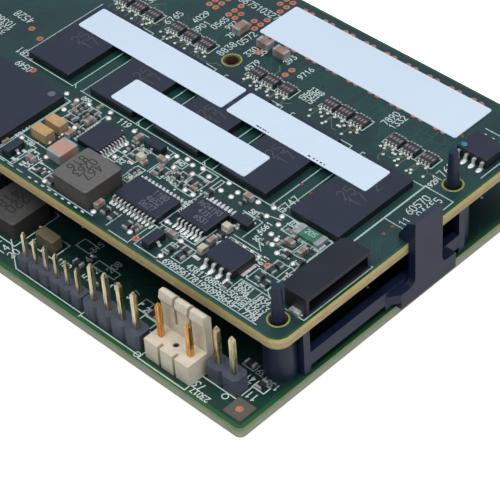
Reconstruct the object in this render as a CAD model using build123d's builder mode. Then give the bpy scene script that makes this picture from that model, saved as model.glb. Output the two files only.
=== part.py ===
"""Storage controller card: a low-profile slot card with a cache board clipped on top.

Millimetres, +Z up, lying with its component side up. The origin is the middle of the key notch,
at the tip of the slot contacts, on the component face. +X runs to the card's free end, away from
the bracket, and +Y runs up to the card's top edge.
"""
from build123d import *
import os

os.makedirs("parts", exist_ok=True)

# Lower board: slot card outline
board_length = 167.65
board_height = 60.65
board_thick = 1.57
board_corner_r = 0.9
bracket_end = -59.05
tongue_height = 8.25
tongue_chamfer = 0.6
contact_pitch = 1.0
contact_width = 0.7
contact_length = 4.2
contact_thick = 0.05
contact_setback = 0.6
key_width = 1.9
key_to_contact = 1.5
short_side_count = 11
long_side_count = 38
tongue_margin = 0.825

free_end = bracket_end + board_length
near_edge = tongue_height
top_edge = near_edge + board_height

# Upper board: cache board, held above the lower one
stack_gap = 7.0
mezz_length = 86.0
mezz_width = 51.0
mezz_thick = 1.6
mezz_corner_r = 2.0
mezz_inset = 0.3
mezz_rise = 7.3
mezz_end = free_end - mezz_inset
mezz_near = near_edge + mezz_rise
mezz_top = stack_gap + mezz_thick
post_hole_r = 1.2
post_hole_in = 2.9
post_hole_up = 3.1
post_spacing = 31.75
ground_hole_in = 41.8
ground_hole_r = 1.1
small_hole_in = 8.3
small_hole_up = 42.6
small_hole_r = 0.5

# Black frame that carries and clips the cache board
boss_r = 2.1
post_r = 0.95
post_tip_r = 0.6
post_above = 5.4
peg_r = 0.8
peg_depth = 1.2
peg_clearance = 0.1
rail_thick = 1.1
rail_setback = 0.3
rail_low = 1.1
rail_high = 3.2
leg_width = 1.1
leg_low_at = 11.5
leg_high_at = 40.0
web_thick = 0.8
foot_width = 10.3
foot_height = 2.45
foot_at = 27.66
foot_overhang = 0.9
foot_blend = 1.6
stem_width = 5.1
stem_thick = 1.1
stem_blend_r = 1.0
hook_rise = 3.8
hook_slope = 0.7
hook_reach = 1.6
hook_nose = 0.75
hook_back = 0.2
clip_clearance = 0.05

# Support posts under the cache board's other end
stud_r = 2.0
stud_pin_r = 1.0
stud_above = 1.6
stud_cap_r = 1.5
stud_cap_height = 0.7


def lower(inward, upward):
    """A place on the lower board, counted in from its free end and up from its near edge."""
    return free_end - inward, near_edge + upward


def upper(inward, upward):
    """A place on the cache board, counted in from its free end and up from its near edge."""
    return mezz_end - inward, mezz_near + upward


def save(piece, name):
    """Label a finished piece and write its file."""
    piece.label = name
    export_step(piece, f"parts/{name}.step")


def block(place, ground, size, corner_r, edge):
    """A moulded block standing on the level ground, with rounded corners and a broken top edge."""
    with BuildPart() as made:
        with BuildSketch(Plane.XY.offset(ground)):
            with Locations(place):
                RectangleRounded(size[0], size[1], corner_r)
        extrude(amount=size[2])
        chamfer(made.faces().sort_by(Axis.Z)[-1].edges(), edge)
    return made.part


def plain_blocks(places, ground, size):
    """Plain blocks of one size, each standing on the level ground."""
    with BuildPart() as made:
        with BuildSketch(Plane.XY.offset(ground)):
            with Locations(*places):
                Rectangle(size[0], size[1])
        extrude(amount=size[2])
    return made.part


def gull_lead(reach, foot, rise, width, thick):
    """One formed lead: it leaves the body at rise, drops, and ends in a flat foot, along +Y."""
    shoulder = reach - foot
    with BuildPart() as made:
        with BuildSketch(Plane.YZ.offset(-width / 2)):
            with BuildLine():
                Polyline(
                    (0, rise), (shoulder - thick / 2, rise), (shoulder + thick / 2, thick),
                    (reach, thick), (reach, 0), (shoulder - thick / 2, 0),
                    (shoulder - 1.5 * thick, rise - thick), (0, rise - thick), close=True)
            make_face()
        extrude(amount=width)
    return made.part


def row_of(first_in, up, pitch, count):
    """Pin places on the lower board, from the one nearest the free end inwards."""
    return [lower(first_in + i * pitch, up) for i in range(count)]


def lead_places(centre, half_gap, pitch, count, ground, turned=False):
    """Where a package's leads start: two rows that face away from each other."""
    places = []
    for index in range(count):
        along = (index - (count - 1) / 2) * pitch
        for side in (1, -1):
            if turned:
                spot = (centre[0] + side * half_gap, centre[1] + along, ground)
                places.append(Location(spot, (0, 0, -90 * side)))
            else:
                spot = (centre[0] + along, centre[1] + side * half_gap, ground)
                places.append(Location(spot, (0, 0, 90 - 90 * side)))
    return places


# Slot edge: the key notch is at X = 0
contact_start = -key_to_contact - (short_side_count - 1) * contact_pitch
contact_stop = key_to_contact + (long_side_count - 1) * contact_pitch
tongue_start = contact_start - tongue_margin
tongue_stop = contact_stop + tongue_margin

# Bracket fixing points on the lower board
ear_in = 4.6
ear_low = 6.0
ear_spacing = 44.0
screw_hole_r = 1.6
ear_places = [(bracket_end + ear_in, near_edge + ear_low),
              (bracket_end + ear_in, near_edge + ear_low + ear_spacing)]

# Two right-angle cable ports on the top edge
port_width = 24.0
port_height = 9.4
port_depth = 15.0
port_wall = 0.4
port_overhang = 1.0
port_gap = 3.0
port_first_x = -39.0
port_front = top_edge + port_overhang
port_back = port_front - port_depth

# Heat sink on the controller chip, below the ports
sink_width = 37.5
sink_x = -18.5
sink_to_ports = 3.9
sink_base = 2.6
sink_height = 10.6
fin_count = 11
fin_thick = 0.9
fin_gap_count = fin_count - 1
pin_inset = 3.6
push_hole_r = 1.5
chip_width = 27.0
chip_height = 2.3
sink_y = port_back - sink_to_ports - sink_width / 2
pin_offset = sink_width / 2 - pin_inset
pin_places = [(sink_x - pin_offset, sink_y + pin_offset), (sink_x + pin_offset, sink_y - pin_offset)]

post_places = [upper(post_hole_in, post_hole_up), upper(post_hole_in, post_hole_up + post_spacing)]
stud_places = [upper(mezz_length - post_hole_in, post_hole_up),
               upper(mezz_length - post_hole_in, post_hole_up + post_spacing)]

# Pin headers along the near edge: their pins go through the board
pin_width = 0.64
fine_pin_width = 0.5
pin_tip = 0.5
pin_clearance = 0.04
header_pitch = 2.54
fine_pitch = 2.0
header_notch = 4.0
header_top = 8.5
fine_header_top = 6.0
tail_below = 1.2
two_way = row_of(5.3, 4.7, header_pitch, 2)
four_way = row_of(19.5, 2.2, header_pitch, 4)
six_way = row_of(30.0, 2.2, fine_pitch, 6)
key_row = row_of(10.8, 2.9, header_pitch, 3)
key_pins = [key_row[0], key_row[2]]

# Lower board with its slot tongue
with BuildPart() as base_board:
    with BuildSketch(Plane.XY.offset(-board_thick)):
        with Locations((bracket_end + board_length / 2, near_edge + board_height / 2)):
            RectangleRounded(board_length, board_height, board_corner_r)
        with Locations(((tongue_start + tongue_stop) / 2, tongue_height / 2)):
            Rectangle(tongue_stop - tongue_start, tongue_height)
        with Locations((0, tongue_height / 2 - key_width / 4)):
            Rectangle(key_width, tongue_height - key_width / 2, mode=Mode.SUBTRACT)
        with Locations((0, tongue_height - key_width / 2)):
            Circle(key_width / 2, mode=Mode.SUBTRACT)
        with Locations(*ear_places):
            Circle(screw_hole_r, mode=Mode.SUBTRACT)
        with Locations(*pin_places):
            Circle(push_hole_r, mode=Mode.SUBTRACT)
        with Locations(*post_places, *stud_places):
            Circle(peg_r + peg_clearance, mode=Mode.SUBTRACT)
        with Locations(*two_way, *four_way, *key_pins):
            Circle(pin_width * 0.5 ** 0.5 + pin_clearance, mode=Mode.SUBTRACT)
        with Locations(*six_way):
            Circle(fine_pin_width * 0.5 ** 0.5 + pin_clearance, mode=Mode.SUBTRACT)
    extrude(amount=board_thick)
    tip_edges = base_board.edges().filter_by(Axis.X).group_by(Axis.Y)[0]
    chamfer(tip_edges, tongue_chamfer)
save(base_board.part, "base_board")

# Gold contacts on both faces of the tongue
contact_y = tongue_chamfer + contact_setback + contact_length / 2
contact_xs = [-key_to_contact - i * contact_pitch for i in range(short_side_count)]
contact_xs += [key_to_contact + i * contact_pitch for i in range(long_side_count)]
with BuildPart() as edge_contacts:
    for face_z in (0, -board_thick - contact_thick):
        with BuildSketch(Plane.XY.offset(face_z)):
            with Locations(*[(x, contact_y) for x in contact_xs]):
                Rectangle(contact_width, contact_length)
        extrude(amount=contact_thick)
save(edge_contacts.part, "edge_contacts")

# Folded steel bracket
sheet = 0.86
plate_low = -3.4
plate_width = 18.42
plate_bottom = -5.5
plate_length = 79.2
plate_corner_r = 2.5
tip_width = 10.2
tip_length = 9.0
tab_depth = 11.4
tab_slot_r = 2.2
tab_slot_in = 4.0
ear_width = 8.0
ear_length = 7.6
ear_corner_r = 1.5
vent_length = 9.0
vent_width = 2.4
vent_count = 9
vent_pitch = 5.0
vent_start = 16.0
plate_top = plate_bottom + plate_length
plate_x = bracket_end - sheet
plate_high = plate_low + plate_width
with BuildPart() as bracket:
    with BuildSketch(Plane.YZ.offset(plate_x)):
        with BuildLine():
            Polyline(
                (plate_bottom, plate_low), (plate_bottom, plate_low + tip_width),
                (plate_bottom + tip_length, plate_low + tip_width),
                (plate_bottom + tip_length + plate_corner_r, plate_high), (plate_top, plate_high),
                (plate_top, plate_low), close=True)
        make_face()
        with Locations(((near_edge + vent_start) + (vent_count - 1) * vent_pitch / 2,
                        plate_high / 2 + 1)):
            with GridLocations(vent_pitch, 0, vent_count, 1):
                SlotOverall(vent_length, vent_width, rotation=90, mode=Mode.SUBTRACT)
    extrude(amount=sheet)
    with BuildSketch(Plane.XZ.offset(-plate_top)):
        with Locations((bracket_end - tab_depth / 2, plate_low + plate_width / 2)):
            Rectangle(tab_depth, plate_width)
        with Locations((bracket_end - tab_depth + tab_slot_in / 2, plate_high - tab_slot_r - 1.2)):
            Rectangle(tab_slot_in, 2 * tab_slot_r, mode=Mode.SUBTRACT)
        with Locations((bracket_end - tab_depth + tab_slot_in, plate_high - tab_slot_r - 1.2)):
            Circle(tab_slot_r, mode=Mode.SUBTRACT)
    extrude(amount=sheet)
    for place in ear_places:
        with BuildSketch(Plane.XY):
            with Locations((bracket_end + ear_length / 2, place[1])):
                Rectangle(ear_length, ear_width)
            with Locations(place):
                Circle(screw_hole_r - 0.3, mode=Mode.SUBTRACT)
        extrude(amount=sheet)
    ear_corners = bracket.edges().filter_by(Axis.Z).group_by(Axis.X)[-1]
    fillet(ear_corners, ear_corner_r)
save(bracket.part, "bracket")

# Two pan-head screws from the solder side, threaded into the bracket's ears
screw_r = 1.25
screw_head_r = 2.6
screw_head_height = 1.3
screw_point = 0.6
driver_slot = 0.8
driver_depth = 0.7
with BuildPart() as bracket_screws:
    for place in ear_places:
        with BuildSketch(Plane.XY.offset(-board_thick - screw_head_height)):
            with Locations(place):
                Circle(screw_head_r)
        extrude(amount=screw_head_height)
        with BuildSketch(Plane.XY.offset(-board_thick)):
            with Locations(place):
                Circle(screw_r)
        extrude(amount=board_thick + sheet + screw_point)
        for turn in (0, 90):
            with BuildSketch(Plane.XY.offset(-board_thick - screw_head_height)):
                with Locations(place):
                    Rectangle(2 * screw_head_r - driver_slot, driver_slot, rotation=turn)
            extrude(amount=driver_depth, mode=Mode.SUBTRACT)
save(bracket_screws.part, "bracket_screws")

# Controller chip and its heat sink
save(block((sink_x, sink_y), 0, (chip_width, chip_width, chip_height), 0.4, 0.3), "controller_chip")

sink_low = chip_height
fin_pitch = (sink_width - fin_thick) / fin_gap_count
ear_pad = 2 * pin_inset
spring_length = 3.6
with BuildPart() as heat_sink:
    with BuildSketch(Plane.XY.offset(sink_low)):
        with Locations((sink_x, sink_y)):
            RectangleRounded(sink_width, sink_width, 0.8)
    extrude(amount=sink_base)
    with BuildSketch(Plane.XY.offset(sink_low + sink_base)):
        with Locations((sink_x, sink_y)):
            with GridLocations(0, fin_pitch, 1, fin_count):
                Rectangle(sink_width, fin_thick)
    extrude(amount=sink_height - sink_base)
    with BuildSketch(Plane.XY.offset(sink_low + sink_base)):
        with Locations(*[(sink_x + side * pin_offset, sink_y - side * pin_offset) for side in (1, -1)]):
            Rectangle(ear_pad, ear_pad)
    extrude(amount=sink_height, mode=Mode.SUBTRACT)
    with BuildSketch(Plane.XY.offset(sink_low)):
        with Locations(*pin_places):
            Circle(push_hole_r)
    extrude(amount=sink_base, mode=Mode.SUBTRACT)
save(heat_sink.part, "heat_sink")

# Push pins: a stem through heat sink and board, with a split barb under the board
pin_stem_r = 1.2
pin_head_r = 2.9
pin_head_height = 1.4
barb_r = 1.9
barb_length = 1.1
barb_gap = 0.05
barb_slot = 0.5
spring_low = sink_low + sink_base
pin_head_low = spring_low + spring_length
with BuildPart() as heat_sink_pins:
    for place in pin_places:
        with BuildSketch(Plane.XY.offset(pin_head_low)):
            with Locations(place):
                Circle(pin_head_r)
        extrude(amount=pin_head_height)
        with BuildSketch(Plane.XY.offset(-board_thick - barb_gap)):
            with Locations(place):
                Circle(pin_stem_r)
        extrude(amount=board_thick + barb_gap + pin_head_low)
        with Locations((place[0], place[1], -board_thick - barb_gap - barb_length / 2)):
            Cone(pin_stem_r * 0.6, barb_r, barb_length)
            Box(barb_slot, 4 * barb_r, barb_length, mode=Mode.SUBTRACT)
save(heat_sink_pins.part, "heat_sink_pins")

# Coil springs that press the heat sink down
spring_wire_r = 0.25
spring_coil_r = 1.95
spring_turns = 4
spring_rise = spring_length - 2 * spring_wire_r
with BuildPart() as pin_springs:
    for place in pin_places:
        with BuildLine() as coil:
            Helix(spring_rise / spring_turns, spring_rise, spring_coil_r,
                  center=(place[0], place[1], spring_low + spring_wire_r))
        with BuildSketch(Plane(origin=coil.line @ 0, z_dir=coil.line % 0)):
            Circle(spring_wire_r)
        sweep(path=coil.line, is_frenet=True)
save(pin_springs.part, "pin_springs")

# Cable ports: a sheet shell round a moulded insert
insert_depth = 7.4
insert_clearance = 0.05
card_slot_width = 17.0
card_slot_height = 1.7
latch_width = 4.5
latch_length = 3.0
latch_setback = 4.0
for number in (1, 2):
    port_x = port_first_x + (number - 1) * (port_width + port_gap)
    with BuildPart() as sas_shell:
        with BuildSketch(Plane.XZ.offset(-port_front)):
            with Locations((port_x, port_height / 2)):
                Rectangle(port_width, port_height)
                Rectangle(port_width - 2 * port_wall, port_height - 2 * port_wall, mode=Mode.SUBTRACT)
        extrude(amount=port_depth)
        with BuildSketch(Plane.XZ.offset(-port_back - port_wall)):
            with Locations((port_x, port_height / 2)):
                Rectangle(port_width, port_height)
        extrude(amount=port_wall)
        with BuildSketch(Plane.XY.offset(port_height - 2 * port_wall)):
            with Locations((port_x, port_front - latch_setback)):
                with GridLocations(2 * latch_width, 0, 2, 1):
                    Rectangle(latch_width, latch_length)
        extrude(amount=3 * port_wall, mode=Mode.SUBTRACT)
    save(sas_shell.part, f"sas_shell_{number}")

    insert_back = port_back + port_wall + insert_clearance
    insert_width = port_width - 2 * (port_wall + insert_clearance)
    insert_height = port_height - 2 * (port_wall + insert_clearance)
    with BuildPart() as sas_insert:
        with BuildSketch(Plane.XZ.offset(-insert_back)):
            with Locations((port_x, port_height / 2)):
                Rectangle(insert_width, insert_height)
        extrude(amount=-insert_depth)
        with BuildSketch(Plane.XZ.offset(-insert_back - insert_depth)):
            with Locations((port_x, port_height / 2)):
                Rectangle(card_slot_width, card_slot_height)
        extrude(amount=insert_depth - port_wall * 2, mode=Mode.SUBTRACT)
        chamfer(sas_insert.faces().sort_by(Axis.Y)[-1].outer_wire().edges(), 0.3)
    save(sas_insert.part, f"sas_insert_{number}")

def pin_row(places, width, top):
    """Square pins with pointed tips, from below the board up to the level top."""
    with BuildPart() as made:
        with BuildSketch(Plane.XY.offset(-board_thick - tail_below)):
            with Locations(*places):
                Rectangle(width, width)
        extrude(amount=board_thick + tail_below + top - pin_tip)
        with BuildSketch(Plane.XY.offset(top - pin_tip)):
            with Locations(*places):
                Rectangle(width, width)
        extrude(amount=pin_tip, taper=18)
    return made.part


def header_body(places, pitch, height, pin_hole):
    """Moulded strip with square pin holes and a notch at each joint between positions."""
    count = len(places)
    middle = ((places[0][0] + places[-1][0]) / 2, places[0][1])
    with BuildPart() as made:
        with BuildSketch(Plane.XY):
            with Locations(middle):
                Rectangle(count * pitch, pitch)
                with GridLocations(pitch, pitch, count + 1, 2):
                    Rectangle(pitch / header_notch, pitch / header_notch, rotation=45,
                              mode=Mode.SUBTRACT)
            with Locations(*places):
                Rectangle(pin_hole, pin_hole, mode=Mode.SUBTRACT)
        extrude(amount=height)
    return made.part


for name, places, pitch, body_height, top, width in (
        ("two_way_header", two_way, header_pitch, 2.54, header_top, pin_width),
        ("four_way_header", four_way, header_pitch, 2.54, header_top, pin_width),
        ("six_way_header", six_way, fine_pitch, 2.0, fine_header_top, fine_pin_width)):
    save(header_body(places, pitch, body_height, width + pin_clearance), name)
    save(pin_row(places, width, top), f"{name}_pins")

# Keyed three-way header with a friction wall: its middle pin is left out
key_base_height = 3.2
key_front = 1.8
key_back = 1.5
wall_thick = 1.1
wall_top = 9.0
key_margin = 0.05
key_slot_width = 0.45
key_slot_depth = 0.9
key_hole_r = 0.4
key_width_all = 3 * header_pitch - key_margin
key_mid = key_row[1]
wall_y = key_mid[1] + key_back
with BuildPart() as key_header:
    with BuildSketch(Plane.XY):
        with Locations((key_mid[0], key_mid[1] + (key_back - key_front) / 2)):
            Rectangle(key_width_all, key_front + key_back)
    extrude(amount=key_base_height)
    with BuildSketch(Plane.YZ.offset(key_mid[0] - key_width_all / 2)):
        with BuildLine():
            Polyline(
                (wall_y, 0), (wall_y + wall_thick, 0), (wall_y + wall_thick, wall_top - 0.6),
                (wall_y + wall_thick / 2, wall_top), (wall_y - 0.1, wall_top),
                (wall_y - 0.35, wall_top - 1.1), (wall_y, wall_top - 1.9), close=True)
        make_face()
    extrude(amount=key_width_all)
    with BuildSketch(Plane.XY):
        with Locations((key_mid[0], key_mid[1] - key_front + key_slot_depth / 2)):
            with GridLocations(header_pitch, 0, 2, 1):
                Rectangle(key_slot_width, key_slot_depth)
    extrude(amount=key_base_height, mode=Mode.SUBTRACT)
    with BuildSketch(Plane.XY.offset(key_base_height + 1.2)):
        with Locations((key_mid[0], wall_y + wall_thick / 2)):
            with GridLocations(header_pitch, 0, 2, 1):
                Rectangle(key_slot_width, 3 * wall_thick)
    extrude(amount=wall_top, mode=Mode.SUBTRACT)
    with BuildSketch(Plane.XY.offset(key_base_height - key_slot_depth)):
        with Locations(key_mid):
            Circle(key_hole_r)
    extrude(amount=key_slot_depth, mode=Mode.SUBTRACT)
    with BuildSketch(Plane.XY):
        with Locations(*key_pins):
            Rectangle(pin_width + pin_clearance, pin_width + pin_clearance)
    extrude(amount=key_base_height, mode=Mode.SUBTRACT)
save(key_header.part, "key_header")
save(pin_row(key_pins, pin_width, header_top), "key_header_pins")

# Cache board
with BuildPart() as mezz_board:
    with BuildSketch(Plane.XY.offset(stack_gap)):
        with Locations((mezz_end - mezz_length / 2, mezz_near + mezz_width / 2)):
            RectangleRounded(mezz_length, mezz_width, mezz_corner_r)
        with Locations(*post_places, *stud_places):
            Circle(post_hole_r, mode=Mode.SUBTRACT)
        with Locations(upper(ground_hole_in, post_hole_up + post_spacing)):
            Circle(ground_hole_r, mode=Mode.SUBTRACT)
        with Locations(upper(small_hole_in, small_hole_up)):
            Circle(small_hole_r, mode=Mode.SUBTRACT)
    extrude(amount=mezz_thick)
save(mezz_board.part, "mezz_board")

# Black frame: two bosses with posts, a rail on legs, and the clip in the middle
rail_face = free_end - rail_setback
rail_back = rail_face - rail_thick
foot_face = free_end + foot_overhang
stem_back = foot_face - stem_thick
foot_low = near_edge + foot_at
foot_high = foot_low + foot_width
stem_low = foot_low + (foot_width - stem_width) / 2
leg_low = near_edge + leg_low_at
leg_high = near_edge + leg_high_at
hook_low = mezz_top + clip_clearance
hook_top = mezz_top + hook_rise
with BuildPart() as mezz_frame:
    with BuildSketch(Plane.XY):
        with Locations(*post_places):
            Circle(boss_r)
    extrude(amount=stack_gap)
    with BuildSketch(Plane.XY.offset(-peg_depth)):
        with Locations(*post_places):
            Circle(peg_r)
    extrude(amount=peg_depth)
    for place in post_places:
        with Locations((place[0], place[1], stack_gap + (mezz_thick + post_above) / 2)):
            Cone(post_r, post_tip_r, mezz_thick + post_above)
    with BuildSketch(Plane.XY.offset(rail_low)):
        with Locations((rail_face - rail_thick / 2, (leg_low + leg_high + leg_width) / 2)):
            Rectangle(rail_thick, leg_high + leg_width - leg_low)
    extrude(amount=rail_high - rail_low)
    for leg_y, place in ((leg_low, post_places[0]), (leg_high, post_places[1])):
        with BuildSketch(Plane.XY):
            with Locations((rail_face - rail_thick / 2, leg_y + leg_width / 2)):
                Rectangle(rail_thick, leg_width)
        extrude(amount=stack_gap)
        with BuildSketch(Plane.XY.offset(rail_low)):
            with Locations(((place[0] + rail_face - rail_thick / 2) / 2, leg_y + leg_width / 2)):
                Rectangle(rail_face - rail_thick / 2 - place[0], web_thick)
        extrude(amount=stack_gap - rail_low)
    with BuildSketch(Plane.XY):
        with BuildLine():
            Polyline(
                (rail_back, foot_low - foot_blend), (rail_face, foot_low - foot_blend),
                (foot_face, foot_low), (foot_face, foot_high), (rail_face, foot_high),
                (rail_back, foot_high), close=True)
        make_face()
    extrude(amount=foot_height)
    with BuildSketch(Plane.XY):
        with BuildLine():
            Polyline(
                (rail_back - 1, foot_low - foot_blend - 1), (foot_face + 1, foot_low - foot_blend - 1),
                (foot_face + 1, foot_low), (rail_face, foot_low), (rail_face, foot_low - foot_blend),
                (rail_back - 1, foot_low - foot_blend), close=True)
        make_face()
    extrude(amount=rail_low, mode=Mode.SUBTRACT)
    with BuildSketch(Plane.YZ.offset(stem_back)):
        with BuildLine():
            Polyline(
                (stem_low, 0), (stem_low, hook_low), (stem_low + stem_width, hook_low),
                (stem_low + stem_width, 0), close=True)
        make_face()
    extrude(amount=stem_thick)
    with BuildSketch(Plane.XZ.offset(-stem_low)):
        with BuildLine():
            Polyline(
                (foot_face, hook_low - stem_thick), (foot_face, hook_top),
                (stem_back - hook_back, hook_top - hook_slope),
                (stem_back - hook_reach, hook_low + hook_nose), (stem_back - hook_reach, hook_low),
                (stem_back, hook_low), (stem_back, hook_low - stem_thick), close=True)
        make_face()
    extrude(amount=-stem_width)
    inner_corners = (mezz_frame.edges().filter_by(Axis.X)
                     .filter_by(lambda e: abs(e.center().Z - foot_height) < 0.01
                                and e.center().X > stem_back
                                and min(abs(e.center().Y - stem_low),
                                        abs(e.center().Y - stem_low - stem_width)) < 0.01))
    fillet(inner_corners, stem_blend_r)
save(mezz_frame.part, "mezz_frame")

# Support posts at the cache board's hidden end
with BuildPart() as mezz_posts:
    for place in stud_places:
        for radius, low, high in (
                (peg_r, -peg_depth, 0), (stud_r, 0, stack_gap), (stud_pin_r, stack_gap, mezz_top),
                (stud_cap_r, mezz_top + clip_clearance, mezz_top + stud_cap_height)):
            with BuildSketch(Plane.XY.offset(low)):
                with Locations(place):
                    Circle(radius)
            extrude(amount=high - low)
        with BuildSketch(Plane.XY.offset(mezz_top)):
            with Locations(place):
                Circle(stud_pin_r)
        extrude(amount=clip_clearance)
save(mezz_posts.part, "mezz_posts")

# Board-to-board connector pair below the large label
link_in = 32.5
link_up = 45.6
link_length = 44.0
link_width = 6.4
socket_height = 4.4
groove_width = 2.6
groove_depth = 3.0
groove_margin = 1.6
tongue_play = 0.15
link_x, link_y = upper(link_in, link_up)
with BuildPart() as board_socket:
    with BuildSketch(Plane.XY):
        with Locations((link_x, link_y)):
            RectangleRounded(link_length, link_width, 0.5)
    extrude(amount=socket_height)
    with BuildSketch(Plane.XY.offset(socket_height - groove_depth)):
        with Locations((link_x, link_y)):
            Rectangle(link_length - 2 * groove_margin, groove_width)
    extrude(amount=groove_depth, mode=Mode.SUBTRACT)
save(board_socket.part, "board_socket")

with BuildPart() as board_plug:
    with BuildSketch(Plane.XY.offset(socket_height)):
        with Locations((link_x, link_y)):
            RectangleRounded(link_length, link_width, 0.5)
    extrude(amount=stack_gap - socket_height)
    with BuildSketch(Plane.XY.offset(socket_height - groove_depth + tongue_play)):
        with Locations((link_x, link_y)):
            Rectangle(link_length - 2 * (groove_margin + tongue_play), groove_width - 2 * tongue_play)
    extrude(amount=groove_depth - tongue_play)
save(board_plug.part, "board_plug")

# Memory chips in one row
memory_width = 8.0
memory_length = 14.0
memory_height = 1.1
memory_first_in = 10.4
memory_pitch = 12.25
memory_up = 24.4
memory_count = 5
for index in range(memory_count):
    memory_place = upper(memory_first_in + index * memory_pitch, memory_up)
    memory_size = (memory_width, memory_length, memory_height)
    save(block(memory_place, mezz_top, memory_size, 0.15, 0.12), f"memory_chip_{index + 1}")

# Flash package at the hidden end
flash_length = 18.0
flash_width = 13.1
flash_height = 1.2
flash_in = 61.4
flash_up = 7.5
flash_place = upper(flash_in, flash_up)
save(block(flash_place, mezz_top, (flash_length, flash_width, flash_height), 0.2, 0.12),
     "flash_package")

# Moulded power inductors: one on the cache board and two below it
coil_length = 6.4
coil_width = 6.4
coil_height = 3.0
big_coil_length = 6.6
big_coil_height = 3.0
coil_in = 37.4
coil_up = 4.5
big_coil_in = 48.2
big_coil_up = 7.5
big_coil_gap = 2.2
coil_place = upper(coil_in, coil_up)
save(block(coil_place, mezz_top, (coil_length, coil_width, coil_height), 0.5, 0.25), "mezz_inductor")
big_coils = [lower(big_coil_in, big_coil_up), lower(big_coil_in + big_coil_length + big_coil_gap, big_coil_up)]
with BuildPart() as base_inductors:
    with BuildSketch(Plane.XY):
        with Locations(*big_coils):
            RectangleRounded(big_coil_length, big_coil_length, 0.5)
    extrude(amount=big_coil_height)
    chamfer(base_inductors.faces().group_by(Axis.Z)[-1].edges(), 0.25)
save(base_inductors.part, "base_inductors")

# Blank labels: three lie on the memory chips and one on the board
label_thick = 0.1
label_corner_r = 0.35
chip_label_z = mezz_top + memory_height
for number, in_low, up_low, length, width, label_z in (
        (1, 34.7, 25.7, 27.8, 4.9, chip_label_z), (2, 22.8, 17.8, 24.7, 4.9, chip_label_z),
        (3, 9.4, 25.7, 24.5, 4.8, chip_label_z), (4, 8.4, 41.8, 35.0, 7.5, mezz_top)):
    label_x, label_y = upper(in_low + length / 2, up_low + width / 2)
    with BuildPart() as label_sheet:
        with BuildSketch(Plane.XY.offset(label_z)):
            with Locations((label_x, label_y)):
                RectangleRounded(length, width, label_corner_r)
        extrude(amount=label_thick)
    save(label_sheet.part, f"label_{number}")

# Low right-angle cable connector at the free end
plug_depth = 4.2
plug_length = 11.3
plug_height = 2.8
plug_wall = 0.5
plug_roof = 0.6
plug_floor = 0.45
plug_cavity = 3.0
plug_in = 0.55
plug_up = 5.5
plug_corner = 0.7
tab_length = 1.5
tab_width = 0.7
tab_height = 0.5
plug_x = mezz_end - plug_in - plug_depth / 2
plug_y = mezz_near + plug_up + plug_length / 2
with BuildPart() as cable_connector:
    with BuildSketch(Plane.XY.offset(mezz_top)):
        with Locations((plug_x, plug_y)):
            Rectangle(plug_depth, plug_length)
    extrude(amount=plug_height)
    chamfer(cable_connector.edges().filter_by(Axis.Z).group_by(Axis.X)[0], plug_corner)
    with BuildSketch(Plane.XY.offset(mezz_top + plug_floor)):
        with Locations((plug_x + (plug_depth - plug_cavity) / 2, plug_y)):
            Rectangle(plug_cavity, plug_length - 2 * plug_wall)
    extrude(amount=plug_height - plug_floor - plug_roof, mode=Mode.SUBTRACT)
save(cable_connector.part, "cable_connector")

plug_tabs = [(mezz_end - plug_in - tab_length, plug_y + side * (plug_length + tab_width) / 2)
             for side in (1, -1)]
save(plain_blocks(plug_tabs, mezz_top, (tab_length, tab_width, tab_height)), "connector_tabs")

# Gull-wing packages on the cache board: body, then leads in two rows
package_lift = 0.1


def package(name, centre, size, pitch, count, lead, turned=False):
    """A moulded body standing just clear of the board on two rows of formed leads."""
    reach, foot, width, thick = lead
    save(block(centre, mezz_top + package_lift, size, 0.2, 0.15), f"{name}_chip")
    rise = package_lift + size[2] / 2 + thick / 2
    half_gap = size[0] / 2 if turned else size[1] / 2
    shape = gull_lead(reach, foot, rise, width, thick)
    with BuildPart() as leads:
        with Locations(*lead_places(centre, half_gap, pitch, count, mezz_top, turned)):
            add(shape)
    save(leads.part, f"{name}_leads")


package("buffer", upper(29.5, 7.35), (7.7, 4.3, 1.0), 0.65, 12, (1.1, 0.55, 0.25, 0.13))
package("switch", upper(21.9, 9.75), (5.0, 4.3, 1.0), 0.65, 7, (1.1, 0.55, 0.25, 0.13))
package("regulator", upper(13.95, 6.35), (4.9, 3.9, 1.4), 1.27, 4, (1.1, 0.6, 0.42, 0.2))
package("monitor", upper(4.05, 41.75), (4.9, 3.9, 1.4), 1.27, 4, (1.1, 0.6, 0.42, 0.2))
package("clock", upper(42.9, 11.75), (4.0, 4.9, 0.9), 0.5, 9, (1.0, 0.5, 0.2, 0.12), turned=True)

# Three-lead packages: two leads on one side and one on the other
trio_size = (2.9, 1.3, 1.0)
trio_lead = (0.55, 0.3, 0.55, 0.4, 0.12)
trio_pitch = 1.9
trios_across = [upper(17.6, 12.2), upper(36.2, 15.2)]
trios_upright = [upper(23.6, 2.7), upper(50.1, 2.9)]
with BuildPart() as small_transistors:
    for spots, turn in ((trios_across, 0), (trios_upright, 90)):
        with BuildSketch(Plane.XY.offset(mezz_top + package_lift)):
            with Locations(*spots):
                Rectangle(trio_size[0], trio_size[1], rotation=turn)
        extrude(amount=trio_size[2])
    chamfer(small_transistors.faces().group_by(Axis.Z)[-1].edges(), 0.12)
save(small_transistors.part, "small_transistors")

trio_shape = gull_lead(*trio_lead)
trio_half = trio_size[1] / 2
with BuildPart() as transistor_leads:
    for spots, turn in ((trios_across, 0), (trios_upright, 90)):
        for spot in spots:
            seat = Location((spot[0], spot[1], mezz_top), (0, 0, turn))
            with Locations(seat):
                with Locations((-trio_pitch / 2, trio_half, 0), (trio_pitch / 2, trio_half, 0),
                               Location((0, -trio_half, 0), (0, 0, 180))):
                    add(trio_shape)
save(transistor_leads.part, "transistor_leads")


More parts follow.
